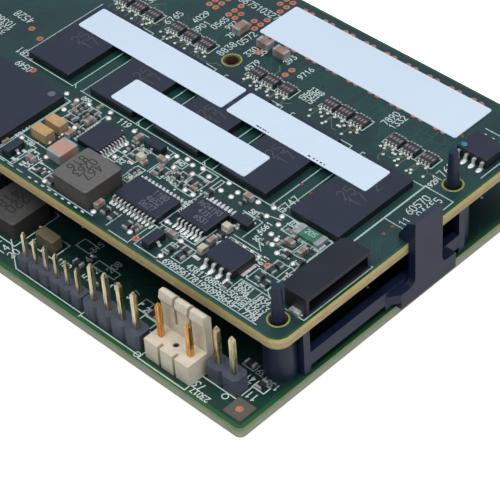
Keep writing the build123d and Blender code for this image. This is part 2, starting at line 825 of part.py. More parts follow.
def chip_part(spots, size, cap, ground):
    """Bodies and end caps of one size of chip part; spots give a place and a turn."""
    bodies, caps = [], []
    for place, turn in spots:
        length, width = size[0], size[1]
        inner = length - 2 * cap
        with BuildPart() as body:
            with BuildSketch(Plane.XY.offset(ground)):
                with Locations(place):
                    Rectangle(inner, width, rotation=turn)
            extrude(amount=size[2])
        bodies.append(body.part)
        with BuildPart() as ends:
            with BuildSketch(Plane.XY.offset(ground)):
                with Locations(Location((place[0], place[1], 0), (0, 0, turn))):
                    with GridLocations(length - cap, 0, 2, 1):
                        Rectangle(cap, width)
            extrude(amount=size[2])
        caps.append(ends.part)
    return bodies, caps


# Chip capacitors and resistors on the cache board, along (0) or across (90) the card
large_capacitors = [((49.1, 9.6), 0), ((49.1, 7.2), 0)]
wide_capacitors = [((44.5, 6.5), 90)]
middle_capacitors = [((40.4, 39.9), 0), ((37.3, 39.9), 0), ((45.4, 40.3), 90)]
small_capacitors = [
    ((18.4, 10.3), 0), ((17.8, 5.5), 90), ((18.2, 7.4), 90), ((36.1, 12.5), 0), ((39.2, 15.0), 90),
    ((33.8, 14.0), 0), ((33.7, 2.9), 90), ((46.9, 3.1), 0), ((20.3, 16.1), 0), ((46.7, 13.2), 90),
    ((22.7, 5.0), 0), ((8.4, 13.2), 90), ((10.7, 13.4), 0), ((46.7, 9.8), 90)]
small_resistors = [
    ((9.6, 11.7), 90), ((7.4, 11.7), 90), ((9.0, 9.7), 0), ((9.1, 8.4), 0), ((9.4, 6.9), 90),
    ((8.0, 6.2), 90), ((18.2, 9.1), 90), ((19.3, 2.9), 0), ((19.3, 4.2), 0), ((21.1, 3.0), 90),
    ((37.4, 12.8), 90), ((49.1, 12.1), 0), ((32.3, 2.7), 90), ((30.8, 2.5), 90),
    ((44.0, 2.3), 0), ((27.7, 13.6), 0), ((30.2, 13.0), 90), ((31.9, 12.6), 0), ((28.2, 2.6), 90),
    ((11.3, 3.0), 90), ((24.9, 13.6), 90), ((41.5, 1.9), 90), ((47.6, 14.8), 0)]
sense_resistors = [((9.6, 15.9), 0)]
all_caps = []
all_bodies = {"large_capacitors": [], "chip_capacitors": [], "chip_resistors": [], "sense_resistor": []}
for name, spots, size, cap in (
        ("large_capacitors", large_capacitors, (3.0, 1.55, 1.5), 0.45),
        ("large_capacitors", wide_capacitors, (3.2, 2.6, 1.4), 0.45),
        ("chip_capacitors", middle_capacitors, (2.2, 1.25, 1.1), 0.4),
        ("chip_capacitors", small_capacitors, (1.4, 0.75, 0.7), 0.32),
        ("chip_resistors", small_resistors, (1.35, 0.75, 0.42), 0.28),
        ("sense_resistor", sense_resistors, (4.2, 1.9, 0.6), 0.8)):
    made_bodies, made_caps = chip_part([(upper(*spot), turn) for spot, turn in spots], size, cap, mezz_top)
    all_bodies[name] += made_bodies
    all_caps += made_caps

# The same small resistors on the lower board, near its edge
base_resistors = [(lower(3.1, 6.9), 90), (lower(6.5, 8.6), 0), (lower(21.5, 6.6), 0),
                  (lower(31.0, 6.3), 90), (lower(35.5, 6.8), 0), (lower(56.6, 3.0), 0),
                  (lower(60.0, 3.0), 0)]
made_bodies, made_caps = chip_part(base_resistors, (1.5, 0.8, 0.45), 0.3, 0)
all_bodies["chip_resistors"] += made_bodies
all_caps += made_caps
for name, bodies in all_bodies.items():
    save(Compound(children=bodies), name)

# Four-way resistor arrays in trios
array_size = (2.1, 1.6, 0.5)
array_pitch = 0.52
array_end = (0.28, 0.25)
arrays = [upper(spot, 36.4) for spot in (13.7, 11.1, 8.2, 25.0, 22.5, 19.8)]
arrays += [upper(spot, 34.9) for spot in (36.9, 34.4, 31.5, 52.3, 49.6, 46.7, 62.6, 59.9, 57.1)]
save(plain_blocks(arrays, mezz_top, array_size), "resistor_arrays")
with BuildPart() as array_ends:
    with BuildSketch(Plane.XY.offset(mezz_top)):
        with Locations(*arrays):
            with GridLocations(array_pitch, array_size[1] + array_end[1], 4, 2):
                Rectangle(*array_end)
    extrude(amount=array_size[2])
save(Compound(children=all_caps + [array_ends.part]), "chip_ends")

# Lower board: moulded capacitor and control chips
tan_size = (3.4, 1.7, 1.9)
tan_in = 41.1
tan_up = 6.8
save(block(lower(tan_in, tan_up), 0, tan_size, 0.2, 0.12), "moulded_capacitor")

control_width = 8.0
control_height = 1.0
control_in = 72.0
control_up = 20.0
control_gap = 6.0
control_places = [lower(control_in, control_up), lower(control_in, control_up + control_width + control_gap)]
with BuildPart() as base_chips:
    with BuildSketch(Plane.XY):
        with Locations(*control_places):
            RectangleRounded(control_width, control_width, 0.2)
    extrude(amount=control_height)
    chamfer(base_chips.faces().group_by(Axis.Z)[-1].edges(), 0.12)
save(base_chips.part, "base_chips")
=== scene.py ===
"""Looks of a storage controller card: two green boards, their printed marks, chips and connectors.

Lengths are in millimetres in the tables and functions, and become metres when a mesh is made.
Places on the cache board are (inward, upward): in from its free end, up from its near edge. Places
on the lower board are the same from that board's own corner.
"""
import math

import bpy
import numpy as np
from mathutils import Matrix, Vector


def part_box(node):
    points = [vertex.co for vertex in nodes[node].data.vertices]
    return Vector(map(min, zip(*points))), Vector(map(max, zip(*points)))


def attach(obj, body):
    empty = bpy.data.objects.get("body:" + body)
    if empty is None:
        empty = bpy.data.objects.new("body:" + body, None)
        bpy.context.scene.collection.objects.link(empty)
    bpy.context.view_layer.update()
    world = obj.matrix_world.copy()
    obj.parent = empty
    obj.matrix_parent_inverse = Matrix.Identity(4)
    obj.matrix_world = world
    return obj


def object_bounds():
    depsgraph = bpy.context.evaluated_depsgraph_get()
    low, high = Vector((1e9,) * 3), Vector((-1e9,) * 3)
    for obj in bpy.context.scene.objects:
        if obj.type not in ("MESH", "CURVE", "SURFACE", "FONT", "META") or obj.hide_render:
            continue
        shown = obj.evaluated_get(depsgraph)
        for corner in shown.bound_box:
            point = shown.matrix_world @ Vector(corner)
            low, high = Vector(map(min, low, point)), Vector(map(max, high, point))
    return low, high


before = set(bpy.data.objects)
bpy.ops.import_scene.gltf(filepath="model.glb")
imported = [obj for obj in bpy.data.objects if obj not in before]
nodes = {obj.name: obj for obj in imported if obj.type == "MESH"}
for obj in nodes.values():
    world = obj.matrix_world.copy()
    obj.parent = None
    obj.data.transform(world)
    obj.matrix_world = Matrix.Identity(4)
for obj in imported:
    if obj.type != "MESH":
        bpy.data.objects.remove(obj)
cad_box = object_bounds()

MM = 0.001
TAU = 2 * math.pi
SEED = 11
rng = np.random.default_rng(SEED)


def box_mm(name):
    """Lowest and highest corner of a CAD node, in millimetres."""
    low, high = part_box(name)
    return np.array(low) / MM, np.array(high) / MM


def top_of(name):
    """Height of a CAD node's highest point, in millimetres."""
    return box_mm(name)[1][2]


# The two boards; the lower one's near edge lies behind its contact tongue
MEZZ_LOW, MEZZ_HIGH = box_mm("mezz_board")
BASE_LOW, BASE_HIGH = box_mm("base_board")
TONGUE = 8.25
MEZZ_TOP = MEZZ_HIGH[2]
BASE_TOP = BASE_HIGH[2]
BASE_NEAR = BASE_LOW[1] + TONGUE


def up(inward, upward):
    """Places on the cache board, from distances in from its free end and up from its near edge."""
    return np.stack([MEZZ_HIGH[0] - np.asarray(inward, float), MEZZ_LOW[1] + np.asarray(upward, float)], -1)


def down(inward, upward):
    """Places on the lower board, from distances in from its free end and up from its near edge."""
    return np.stack([BASE_HIGH[0] - np.asarray(inward, float), BASE_NEAR + np.asarray(upward, float)], -1)


def at(board, rows):
    """Places on a board from rows that begin with their distances inward and upward."""
    rows = np.array(rows)
    return board(rows[:, 0], rows[:, 1])


# Camera: the photograph's view of the free-end corner, with its clip distances in metres
CAMERA_PLACE = (232.46, -103.84, 183.73)
CAMERA_RIGHT = (0.7163, 0.6959, -0.0519)
CAMERA_UP = (-0.4473, 0.5150, 0.7312)
CAMERA_BACK = (0.5356, -0.5005, 0.6802)
CAMERA_LENS = 152.05
CAMERA_SENSOR = 36
CAMERA_CLIP = (0.005, 20)


def add_camera():
    """A camera whose axes are the three given directions, without depth of field or shift."""
    data = bpy.data.cameras.new("camera")
    data.lens = CAMERA_LENS
    data.sensor_width = CAMERA_SENSOR
    data.clip_start, data.clip_end = CAMERA_CLIP
    camera = bpy.data.objects.new("camera", data)
    turn = Matrix((CAMERA_RIGHT, CAMERA_UP, CAMERA_BACK)).transposed()
    camera.matrix_world = Matrix.Translation(Vector(CAMERA_PLACE) * MM) @ turn.to_4x4()
    bpy.context.scene.collection.objects.link(camera)
    bpy.context.scene.camera = camera


# Shapes: each is (corners, face corner list, face sizes)

def shape(corners, faces):
    """Pack corners and faces as arrays."""
    loops = np.concatenate([np.asarray(face) for face in faces])
    return np.asarray(corners, float), loops, np.array([len(face) for face in faces])


def block_shape(top=1):
    """A unit box, centred in plan and standing on zero; its upper square is scaled by top."""
    plan = np.array([[-.5, -.5], [.5, -.5], [.5, .5], [-.5, .5]])
    corners = np.vstack([np.c_[plan, np.zeros(4)], np.c_[plan * top, np.ones(4)]])
    return shape(corners, [[3, 2, 1, 0], [4, 5, 6, 7], [0, 1, 5, 4], [1, 2, 6, 5], [2, 3, 7, 6], [3, 0, 4, 7]])


def turned_shape(profile, count, ring=False):
    """A profile of radius and height turned about the upright axis.

    Row i, step j is at radius r_i, height z_i and angle j / count of a turn. Its ends are capped, or
    joined to each other where it is a ring.
    """
    rows = np.asarray(profile, float)
    angle = np.arange(count) * TAU / count
    corners = np.stack([rows[:, :1] * np.cos(angle), rows[:, :1] * np.sin(angle),
                        rows[:, 1:] + 0 * angle], -1).reshape(-1, 3)
    i, j = np.meshgrid(np.arange(len(rows) - (not ring)), np.arange(count), indexing="ij")
    below, above = i * count, (i + 1) % len(rows) * count
    after = (j + 1) % count
    faces = list(np.stack([below + j, below + after, above + after, above + j], -1).reshape(-1, 4))
    if not ring:
        faces += [np.arange(count)[::-1], np.arange(count) + (len(rows) - 1) * count]
    return shape(corners, faces)


# Forms of unit width and height: a box, one with a slightly smaller top, a disc and a dome
BLOCK = block_shape()
CHIP = block_shape(0.9)
DISC = turned_shape([(0.5, 0), (0.5, 1)], 14)
DOME = turned_shape([(0.5, 0), (0.48, 0.35), (0.38, 0.7), (0.22, 0.93), (0.06, 1)], 12)


def ring_shape(inner, count=16):
    """A flat ring of unit width with a hole of the given radius."""
    return turned_shape([(0.5, 0), (0.5, 1), (inner, 1), (inner, 0)], count, ring=True)


def stamp(form, places, sizes, ground=MEZZ_TOP, turns=0):
    """Copies of a form: scaled by each copy's size, turned about Z and moved to its place on the ground."""
    corners, loops, counts = form
    places = np.atleast_2d(np.asarray(places, float))
    copies = len(places)
    sizes = np.broadcast_to(np.asarray(sizes, float), (copies, 3))
    turns = np.broadcast_to(np.asarray(turns, float), (copies,))
    scaled = corners[None] * sizes[:, None]
    cos, sin = np.cos(turns)[:, None], np.sin(turns)[:, None]
    x = scaled[..., 0] * cos - scaled[..., 1] * sin + places[:, None, 0]
    y = scaled[..., 0] * sin + scaled[..., 1] * cos + places[:, None, 1]
    step = np.arange(copies)[:, None] * len(corners)
    placed = np.stack([x, y, scaled[..., 2] + ground], -1).reshape(-1, 3)
    return placed, (loops[None] + step).ravel(), np.tile(counts, copies)


def piece(name, parts, material, smooth=False):
    """Make one mesh object of stamped arrays, in place in the row's frame, riding on the card."""
    offsets = np.cumsum([0] + [len(part[0]) for part in parts[:-1]])
    corners = np.concatenate([part[0] for part in parts])
    loops = np.concatenate([part[1] + offset for part, offset in zip(parts, offsets)])
    counts = np.concatenate([part[2] for part in parts])
    mesh = bpy.data.meshes.new(name)
    mesh.vertices.add(len(corners))
    mesh.vertices.foreach_set("co", (corners * MM).astype(np.float32).ravel())
    mesh.loops.add(len(loops))
    mesh.loops.foreach_set("vertex_index", loops.astype(np.int32))
    mesh.polygons.add(len(counts))
    mesh.polygons.foreach_set("loop_start", np.concatenate([[0], np.cumsum(counts)[:-1]]).astype(np.int32))
    mesh.update(calc_edges=True)
    mesh.validate()
    if smooth:
        mesh.shade_smooth()
    else:
        mesh.shade_flat()
    mesh.materials.append(MATERIAL[material])
    made = bpy.data.objects.new(name, mesh)
    bpy.context.scene.collection.objects.link(made)
    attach(made, "root")


# Lines: printed marks and tracks are flat bars along segments. A bar is between the lowest share and
# all of its thickness high, and the step takes the heights through that range from bar to bar.
LOWEST_BAR = 0.7
BAR_STEP = 0.618


def path_bars(paths, width, thick, ground=MEZZ_TOP):
    """A flat bar along every stretch of every path: as long as the stretch plus the width.

    Heights differ a little from bar to bar, so that crossing bars have no faces in one plane.
    """
    starts = np.concatenate([np.asarray(path)[:-1] for path in paths])
    along = np.concatenate([np.asarray(path)[1:] for path in paths]) - starts
    length = np.hypot(along[:, 0], along[:, 1])
    heights = thick * (LOWEST_BAR + (1 - LOWEST_BAR) * (np.arange(len(length)) * BAR_STEP % 1))
    sizes = np.stack([length + width, np.full(len(length), width), heights], -1)
    return stamp(BLOCK, starts + along / 2, sizes, ground, np.arctan2(along[:, 1], along[:, 0]))


def outline(low, high):
    """A closed rectangle as a path, from its low corner round to it again."""
    (a, b), (c, d) = low, high
    return np.array([[a, b], [c, b], [c, d], [a, d], [a, b]], float)


def drawn(board, rows):
    """Paths on a board from rows of distances.

    (inward, upward, inward, upward) is a rectangle by two corners, or a straight line where these share
    a distance. (inwards, upwards) is a line by the two lists of its points' distances.
    """
    paths = []
    for row in rows:
        if len(row) == 2:
            paths.append(board(*row))
        elif row[0] == row[2] or row[1] == row[3]:
            paths.append(board(row[::2], row[1::2]))
        else:
            paths.append(outline(board(row[2], row[1]), board(row[0], row[3])))
    return paths


def bundle(points, count, pitch):
    """Parallel tracks: the path moved sideways by equal steps, mitred at its corners.

    At a corner between unit normals n and m the path moves by step * (n + m) / (1 + n . m).
    """
    points = np.asarray(points, float)
    along = np.diff(points, axis=0)
    along /= np.hypot(along[:, 0], along[:, 1])[:, None]
    normal = np.stack([-along[:, 1], along[:, 0]], -1)
    before = np.vstack([normal[:1], normal])
    after = np.vstack([normal, normal[-1:]])
    mitre = (before + after) / (1 + (before * after).sum(1))[:, None]
    steps = (np.arange(count) - (count - 1) / 2) * pitch
    return [points + step * mitre for step in steps]


def wander(start, steps, reach):
    """A track that turns by an eighth of a turn now and then."""
    heading = rng.integers(0, 8)
    places = [np.asarray(start, float)]
    for length in rng.uniform(0.4, 1, steps) * reach:
        heading += rng.choice([-1, 0, 1])
        angle = heading * TAU / 8
        places.append(places[-1] + length * np.array([math.cos(angle), math.sin(angle)]))
    return np.array(places)


def scattered(board, count, inward, upward, steps, reach):
    """So many wandering tracks; where they start and how many steps they have lie in the given ranges."""
    return [wander(board(rng.uniform(*inward), rng.uniform(*upward)), rng.integers(*steps), reach)
            for _ in range(count)]


# Strokes of the ten figures on a grid two wide and four high, and the grid step from one to the next
FIGURE_HIGH = 4
FIGURE_STEP = 3
FIGURES = {
    "0": [(0.6, 0), (0, 0.8), (0, 3.2), (0.6, 4), (1.4, 4), (2, 3.2), (2, 0.8), (1.4, 0), (0.6, 0)],
    "1": [(0.4, 3.2), (1.2, 4), (1.2, 0)],
    "2": [(0, 3.3), (0.5, 4), (1.5, 4), (2, 3.3), (2, 2.6), (0, 0), (2, 0)],
    "3": [(0, 4), (2, 4), (0.9, 2.4), (2, 1.6), (2, 0.7), (1.4, 0), (0.4, 0), (0, 0.6)],
    "4": [(1.5, 0), (1.5, 4), (0, 1.3), (2, 1.3)],
    "5": [(2, 4), (0.2, 4), (0.1, 2.3), (1.4, 2.4), (2, 1.7), (2, 0.7), (1.4, 0), (0, 0.2)],
    "6": [(1.8, 4), (0.5, 2.8), (0, 1.2), (0.5, 0), (1.5, 0), (2, 0.8), (2, 1.6), (1.4, 2.3), (0.3, 2)],
    "7": [(0, 4), (2, 4), (0.8, 0)],
    "8": [(0.5, 2.2), (0, 3), (0.5, 4), (1.5, 4), (2, 3), (1.5, 2.2), (0.5, 2.2), (0, 1.1), (0.5, 0),
          (1.5, 0), (2, 1.1), (1.5, 2.2)],
    "9": [(0.2, 0), (1.5, 1.2), (2, 2.8), (1.5, 4), (0.5, 4), (0, 3.2), (0, 2.4), (0.6, 1.7), (1.7, 2)],
}


def figures(board, rows):
    """Paths of plain numbers from rows of (inward, upward, figures, height, turn in degrees).

    Each is centred on its place, with its figures three quarters of the height apart.
    """
    paths = []
    for inward, upward, text, height, turn in rows:
        scale = height / FIGURE_HIGH
        angle = math.radians(turn)
        across = np.array([math.cos(angle), math.sin(angle)])
        upright = np.array([-math.sin(angle), math.cos(angle)])
        middle = (len(text) * FIGURE_STEP - 1) / 2
        for index, figure in enumerate(text):
            moved = [index * FIGURE_STEP - middle, -FIGURE_HIGH / 2]
            strokes = (np.array(FIGURES[figure]) + moved) * scale
            paths.append(board(inward, upward) + strokes[:, :1] * across + strokes[:, 1:] * upright)
    return paths


# Shader groups and finishes

def new_group(name, inputs, outputs):
    """A shader node group with named inputs and outputs: (name, kind, value) and (name, kind)."""
    group = bpy.data.node_groups.new(name, "ShaderNodeTree")
    kinds = {"float": "NodeSocketFloat", "colour": "NodeSocketColor", "vector": "NodeSocketVector"}
    for label, kind, value in inputs:
        socket = group.interface.new_socket(label, in_out="INPUT", socket_type=kinds[kind])
        socket.default_value = value
    for label, kind in outputs:
        group.interface.new_socket(label, in_out="OUTPUT", socket_type=kinds[kind])
    return group, group.nodes.new("NodeGroupInput").outputs, group.nodes.new("NodeGroupOutput").inputs


def node(tree, kind, sockets=(), **settings):
    """Add a node, set its properties, and set or link its sockets by name or number."""
    made = tree.nodes.new("ShaderNode" + kind)
    for key, value in settings.items():
        setattr(made, key, value)
    for key, value in dict(sockets).items():
        if isinstance(value, bpy.types.NodeSocket):
            tree.links.new(value, made.inputs[key])
        else:
            made.inputs[key].default_value = value
    return made


def maths(tree, operation, a, b=0):
    """A Math node's output."""
    return node(tree, "Math", {0: a, 1: b}, operation=operation).outputs[0]


def blend(tree, factor, a, b):
    """A colour mix's output: a where the factor is 0, b where it is 1."""
    return node(tree, "Mix", {0: factor, 6: a, 7: b}, data_type="RGBA").outputs[2]


def noise(tree, where, scale, detail=2):
    """A noise texture's value, 0 to 1."""
    return node(tree, "TexNoise", {"Vector": where, "Scale": scale, "Detail": detail}).outputs[0]


def ramp(tree, value, low, high):
    """A value carried from 0 at low to 1 at high."""
    return node(tree, "MapRange", {0: value, 1: low, 2: high, 3: 0, 4: 1.0}, clamp=True).outputs[0]


def facing_up(tree):
    """1 on faces that look up or down, 0 on upright ones."""
    upward = node(tree, "SeparateXYZ", {0: node(tree, "TexCoord").outputs["Normal"]}).outputs[2]
    return ramp(tree, maths(tree, "ABSOLUTE", upward), 0.4, 0.6)


def grain_group():
    """Speckle of moulded and fired surfaces: two noises mix dark and light, and set gloss and height."""
    group, given, result = new_group(
        "moulded grain",
        [("Where", "vector", (0, 0, 0)), ("Dark", "colour", (0, 0, 0, 1)), ("Light", "colour", (1, 1, 1, 1)),
         ("Coarse", "float", 400), ("Fine", "float", 5000), ("Gloss", "float", 0.5), ("Spread", "float", 0.1)],
        [("Colour", "colour"), ("Roughness", "float"), ("Height", "float")])
    coarse = noise(group, given["Where"], given["Coarse"], 3)
    fine = noise(group, given["Where"], given["Fine"])
    mask = maths(group, "ADD", maths(group, "MULTIPLY", ramp(group, coarse, 0.35, 0.65), 0.6),
                 maths(group, "MULTIPLY", ramp(group, fine, 0.35, 0.65), 0.4))
    rough = maths(group, "ADD", given["Gloss"], maths(group, "MULTIPLY", given["Spread"], mask))
    height = maths(group, "ADD", maths(group, "MULTIPLY", coarse, 0.4), fine)
    for label, value in (("Colour", blend(group, mask, given["Dark"], given["Light"])), ("Roughness", rough),
                         ("Height", height)):
        group.links.new(value, result[label])
    return group


def outline_group():
    """Signed distance to a rounded rectangle seen from above, negative inside it.

    With q as the size of (place - centre) less the half size, it is the length of q's positive part
    plus the larger of q where both are negative, less the corner radius.
    """
    group, given, result = new_group(
        "outline distance",
        [("Where", "vector", (0, 0, 0)), ("Centre", "vector", (0, 0, 0)), ("Half size", "vector", (1, 1, 0)),
         ("Radius", "float", 0.001)], [("Distance", "float")])
    flat = node(group, "VectorMath", {0: given["Where"], 1: given["Centre"]}, operation="SUBTRACT").outputs[0]
    size = node(group, "VectorMath", {0: flat}, operation="ABSOLUTE").outputs[0]
    over = node(group, "VectorMath", {0: size, 1: given["Half size"]}, operation="SUBTRACT").outputs[0]
    parts = node(group, "SeparateXYZ", {0: over}).outputs
    plan = node(group, "CombineXYZ", {0: maths(group, "MAXIMUM", parts[0], 0),
                                      1: maths(group, "MAXIMUM", parts[1], 0)}).outputs[0]
    outside = node(group, "VectorMath", {0: plan}, operation="LENGTH").outputs[1]
    inside = maths(group, "MINIMUM", maths(group, "MAXIMUM", parts[0], parts[1]), 0)
    total = maths(group, "SUBTRACT", maths(group, "ADD", outside, inside), given["Radius"])
    group.links.new(total, result["Distance"])
    return group


GRAIN = grain_group()
OUTLINE = outline_group()


def rgb(red, green, blue):
    """A linear colour with full alpha."""
    return (red, green, blue, 1)


MATERIAL = {}


def start_material(name):
    """Enter a new material; gives its tree, its Principled shader and the object coordinates."""
    material = MATERIAL[name] = bpy.data.materials.new(name + " finish")
    material.use_nodes = True
    tree = material.node_tree
    return tree, tree.nodes["Principled BSDF"], node(tree, "TexCoord").outputs["Object"]


def outline_distance(tree, where, low, high, radius):
    """Distance in metres to a rounded rectangle, whose corners and radius are in millimetres."""
    made = node(tree, "Group", node_tree=OUTLINE)
    tree.links.new(where, made.inputs["Where"])
    centre, half = (low + high) / 2 * MM, ((high - low) / 2 - radius) * MM
    made.inputs["Centre"].default_value = (centre[0], centre[1], 0)
    made.inputs["Half size"].default_value = (half[0], half[1], 0)
    made.inputs["Radius"].default_value = radius * MM
    return made.outputs[0]


def finish(name, dark, light, gloss, spread=0.1, coarse=400, fine=5000, bump=0.15, depth=0.02,
           stretch=(1, 1, 1), sides=None, patch=None, **constants):
    """A speckled finish: the grain group sets colour, roughness and bump; constants are further sockets.

    Upright faces may have their own tone, sides, which is painted shade: darker than the lit tops. What lies
    within a rectangle seen from above, the patch, may have its own tone too: the part's own colour on some
    parts, painted shade on others. The scales are per metre and the depth of the bump is in millimetres.
    """
    tree, shader, where = start_material(name)
    placed = node(tree, "Mapping", {"Vector": where, "Scale": stretch}).outputs[0]
    grain = node(tree, "Group", node_tree=GRAIN)
    tree.links.new(placed, grain.inputs["Where"])
    for label, value in (("Dark", rgb(*dark)), ("Light", rgb(*light)), ("Coarse", coarse), ("Fine", fine),
                         ("Gloss", gloss), ("Spread", spread)):
        grain.inputs[label].default_value = value
    colour = grain.outputs["Colour"]
    # Painted shade: upright faces take the darker sides tone
    if sides:
        colour = blend(tree, facing_up(tree), rgb(*sides), colour)
    if patch:
        low, high, tone = patch
        colour = blend(tree, ramp(tree, outline_distance(tree, where, low, high, 0.1), 0, 0.1 * MM),
                       rgb(*tone), colour)
    tree.links.new(colour, shader.inputs["Base Color"])
    tree.links.new(grain.outputs["Roughness"], shader.inputs["Roughness"])
    raised = node(tree, "Bump", {"Strength": bump, "Distance": depth * MM, "Height": grain.outputs["Height"]})
    tree.links.new(raised.outputs[0], shader.inputs["Normal"])
    for label, value in constants.items():
        shader.inputs[label.replace("_", " ")].default_value = value


# Boards: noise scales and shares of the mask's clouds and copper areas, and of the edge's fibres with
# their stretch and how far they move the tones (in metres); blur of the margin in millimetres
CLOUD_SCALE, CLOUD_SHARE = 60, 0.7
AREA_SCALE, AREA_SHARE = 95, 0.3
FIBRE_SCALE, FIBRE_SHARE, FIBRE_STRETCH, FIBRE_REACH = 900, 0.45, (1, 1, 9), 0.0003
MARGIN_BLUR = 0.08
EDGE_OFFSET = 0.15
EDGE_ROUGHNESS, MASK_SMOOTHER = 0.75, 0.38


def board_finish(name, low, high, radius, mask, edge, band, margin, shade=None):
    """Solder mask on a board's faces and bare glass-fibre on its edges.

    The mask is three greens: noise mixes the first two, and the third lies in faint copper areas. Within the
    margin of the outline it has its own tone. The edge has an upper tone and a lower one, parted at
    the band's heights above the board's underside, with streaks of fibre along it. A shade rectangle, seen
    from above, is painted shade: it is darker and fades over its last reach in millimetres.
    """
    tree, shader, where = start_material(name)
    cloud = ramp(tree, noise(tree, where, CLOUD_SCALE, 3), 0.35, 0.65)
    pour = node(tree, "TexVoronoi", {"Vector": where, "Scale": AREA_SCALE}, distance="CHEBYCHEV")
    area = ramp(tree, pour.outputs["Distance"], 0.35, 0.42)
    green = blend(tree, maths(tree, "MULTIPLY", cloud, CLOUD_SHARE), rgb(*mask[0]), rgb(*mask[1]))
    green = blend(tree, maths(tree, "MULTIPLY", area, AREA_SHARE), green, rgb(*mask[2]))
    distance = outline_distance(tree, where, low, high, radius)
    bare = ramp(tree, distance, (-margin[0] - MARGIN_BLUR) * MM, (-margin[0] + MARGIN_BLUR) * MM)
    face = blend(tree, bare, green, rgb(*margin[1]))
    # Painted shade: the shade rectangle darkens the mask
    if shade:
        start, end, reach, tone, strength = shade
        beyond = ramp(tree, outline_distance(tree, where, start, end, 1), 0, reach * MM)
        painted_shade_share = maths(tree, "MULTIPLY", maths(tree, "SUBTRACT", 1, beyond), strength)
        face = blend(tree, painted_shade_share, face, rgb(*tone))
    parts = node(tree, "SeparateXYZ", {0: where}).outputs
    stretched = node(tree, "Mapping", {"Vector": where, "Scale": FIBRE_STRETCH}).outputs[0]
    fibre = noise(tree, stretched, FIBRE_SCALE, 3)
    height = maths(tree, "ADD", parts[2], maths(tree, "MULTIPLY", fibre, FIBRE_REACH))
    bottom = low[2] + EDGE_OFFSET
    level = ramp(tree, height, (bottom + band[0]) * MM, (bottom + band[1]) * MM)
    side = blend(tree, level, rgb(*edge[1]), rgb(*edge[0]))
    streak = ramp(tree, fibre, 0.52, 0.62)
    side = blend(tree, maths(tree, "MULTIPLY", streak, FIBRE_SHARE), side, rgb(*edge[2]))
    flat = facing_up(tree)
    tree.links.new(blend(tree, flat, side, face), shader.inputs["Base Color"])
    rough = maths(tree, "SUBTRACT", EDGE_ROUGHNESS, maths(tree, "MULTIPLY", flat, MASK_SMOOTHER))
    tree.links.new(rough, shader.inputs["Roughness"])
    raised = node(tree, "Bump", {"Strength": 0.12, "Distance": 0.03 * MM, "Height": noise(tree, where, 2500)})
    tree.links.new(raised.outputs[0], shader.inputs["Normal"])


# Rectangles with their own tone: the tan capacitors' ends and the pink capacitor. The third rectangle is painted
# shade: the lower board under the cache board, painted darker where the cache board shades it
TAN_ENDS = (up(51.6, 6), up(46.9, 10.8))
PINK_CAP = (up(46.2, 4.6), up(42.9, 8.4))
SHADE_UNDER_CACHE = (MEZZ_LOW[:2] + [1, 0.0], MEZZ_HIGH[:2] - [1.3, 1.0])

# Grain that finishes share
MOULDED = dict(spread=0.12, coarse=250, fine=6000, bump=0.3, depth=0.015)
FIRED = dict(spread=0.15, coarse=900, fine=4000, bump=0.3)
GLAZED = dict(spread=0.15, coarse=900, fine=4000, bump=0.2)
COATED = dict(coarse=900, fine=4000, bump=0.2)
PLATED = dict(coarse=2600, bump=0.2, depth=0.01, stretch=(1, 1, 0.1), Metallic=1)
TINNED = dict(spread=0.2, coarse=1200, bump=0.3)
COPPERED = dict(spread=0.15, coarse=900, bump=0.3)
PRESSED = dict(spread=0.15, coarse=1500, fine=9000, bump=0.35)
INKED = dict(coarse=3000, fine=9000, bump=0.2, depth=0.01)
MARKED = dict(coarse=2000, fine=8000, bump=0.2, depth=0.01)
MASKED = dict(coarse=300, fine=3000, bump=0.1, depth=0.01)
INK = ((0.40, 0.48, 0.46), (0.56, 0.63, 0.62), 0.7)
TRACK = ((0.003, 0.032, 0.026), (0.006, 0.048, 0.039), 0.4)

# The chip finish's darker sides are painted shade
finish("chip", (0.008, 0.011, 0.022), (0.012, 0.016, 0.030), 0.40, 0.10, 300, 9000, 0.2, 0.01,
       sides=(0.002, 0.003, 0.005), Specular_IOR_Level=0.4)
finish("moulding", (0.002, 0.006, 0.023), (0.004, 0.010, 0.035), 0.38, **MOULDED, Specular_IOR_Level=0.45)
finish("connector", (0.002, 0.003, 0.006), (0.004, 0.006, 0.012), 0.42, **MOULDED, Specular_IOR_Level=0.38)
finish("sleeve", (0.030, 0.012, 0.004), (0.060, 0.028, 0.008), 0.6, **COATED)
# The moulded capacitor's finish is its own olive tan, darkened further as painted shade
finish("shaded_olive", (0.075, 0.064, 0.034), (0.13, 0.11, 0.065), 0.42, **FIRED)
finish("header", (0.030, 0.037, 0.055), (0.060, 0.070, 0.100), 0.45, 0.15, 700, 5000, 0.4, 0.03)
finish("cream", (0.52, 0.445, 0.345), (0.66, 0.575, 0.46), 0.42, 0.1, 500, 4000, 0.2, Subsurface_Weight=0.12)
finish("gold", (0.26, 0.17, 0.06), (1, 0.90, 0.62), 0.22, 0.14, **PLATED)
finish("orange_gold", (0.42, 0.17, 0.03), (1, 0.58, 0.18), 0.22, 0.12, **PLATED)
finish("tin", (0.50, 0.50, 0.49), (0.85, 0.85, 0.84), 0.33, **TINNED, Metallic=0.75)
finish("ends", (0.22, 0.225, 0.215), (0.40, 0.41, 0.40), 0.45, **TINNED, Metallic=0.35,
       patch=(*TAN_ENDS, (0.40, 0.29, 0.17)))
finish("solder", (0.52, 0.49, 0.46), (0.82, 0.79, 0.76), 0.42, 0.2, 1500, 5000, 0.3, Metallic=0.5)
finish("silk", (0.27, 0.38, 0.36), (0.40, 0.50, 0.48), 0.7, **INKED)
finish("bright_silk", *INK, **INKED)
# The lower board's silk is painted darker under the cache board: painted shade
finish("base_silk", *INK, **INKED, patch=(*SHADE_UNDER_CACHE, (0.13, 0.16, 0.155)))
finish("track", *TRACK, **MASKED)
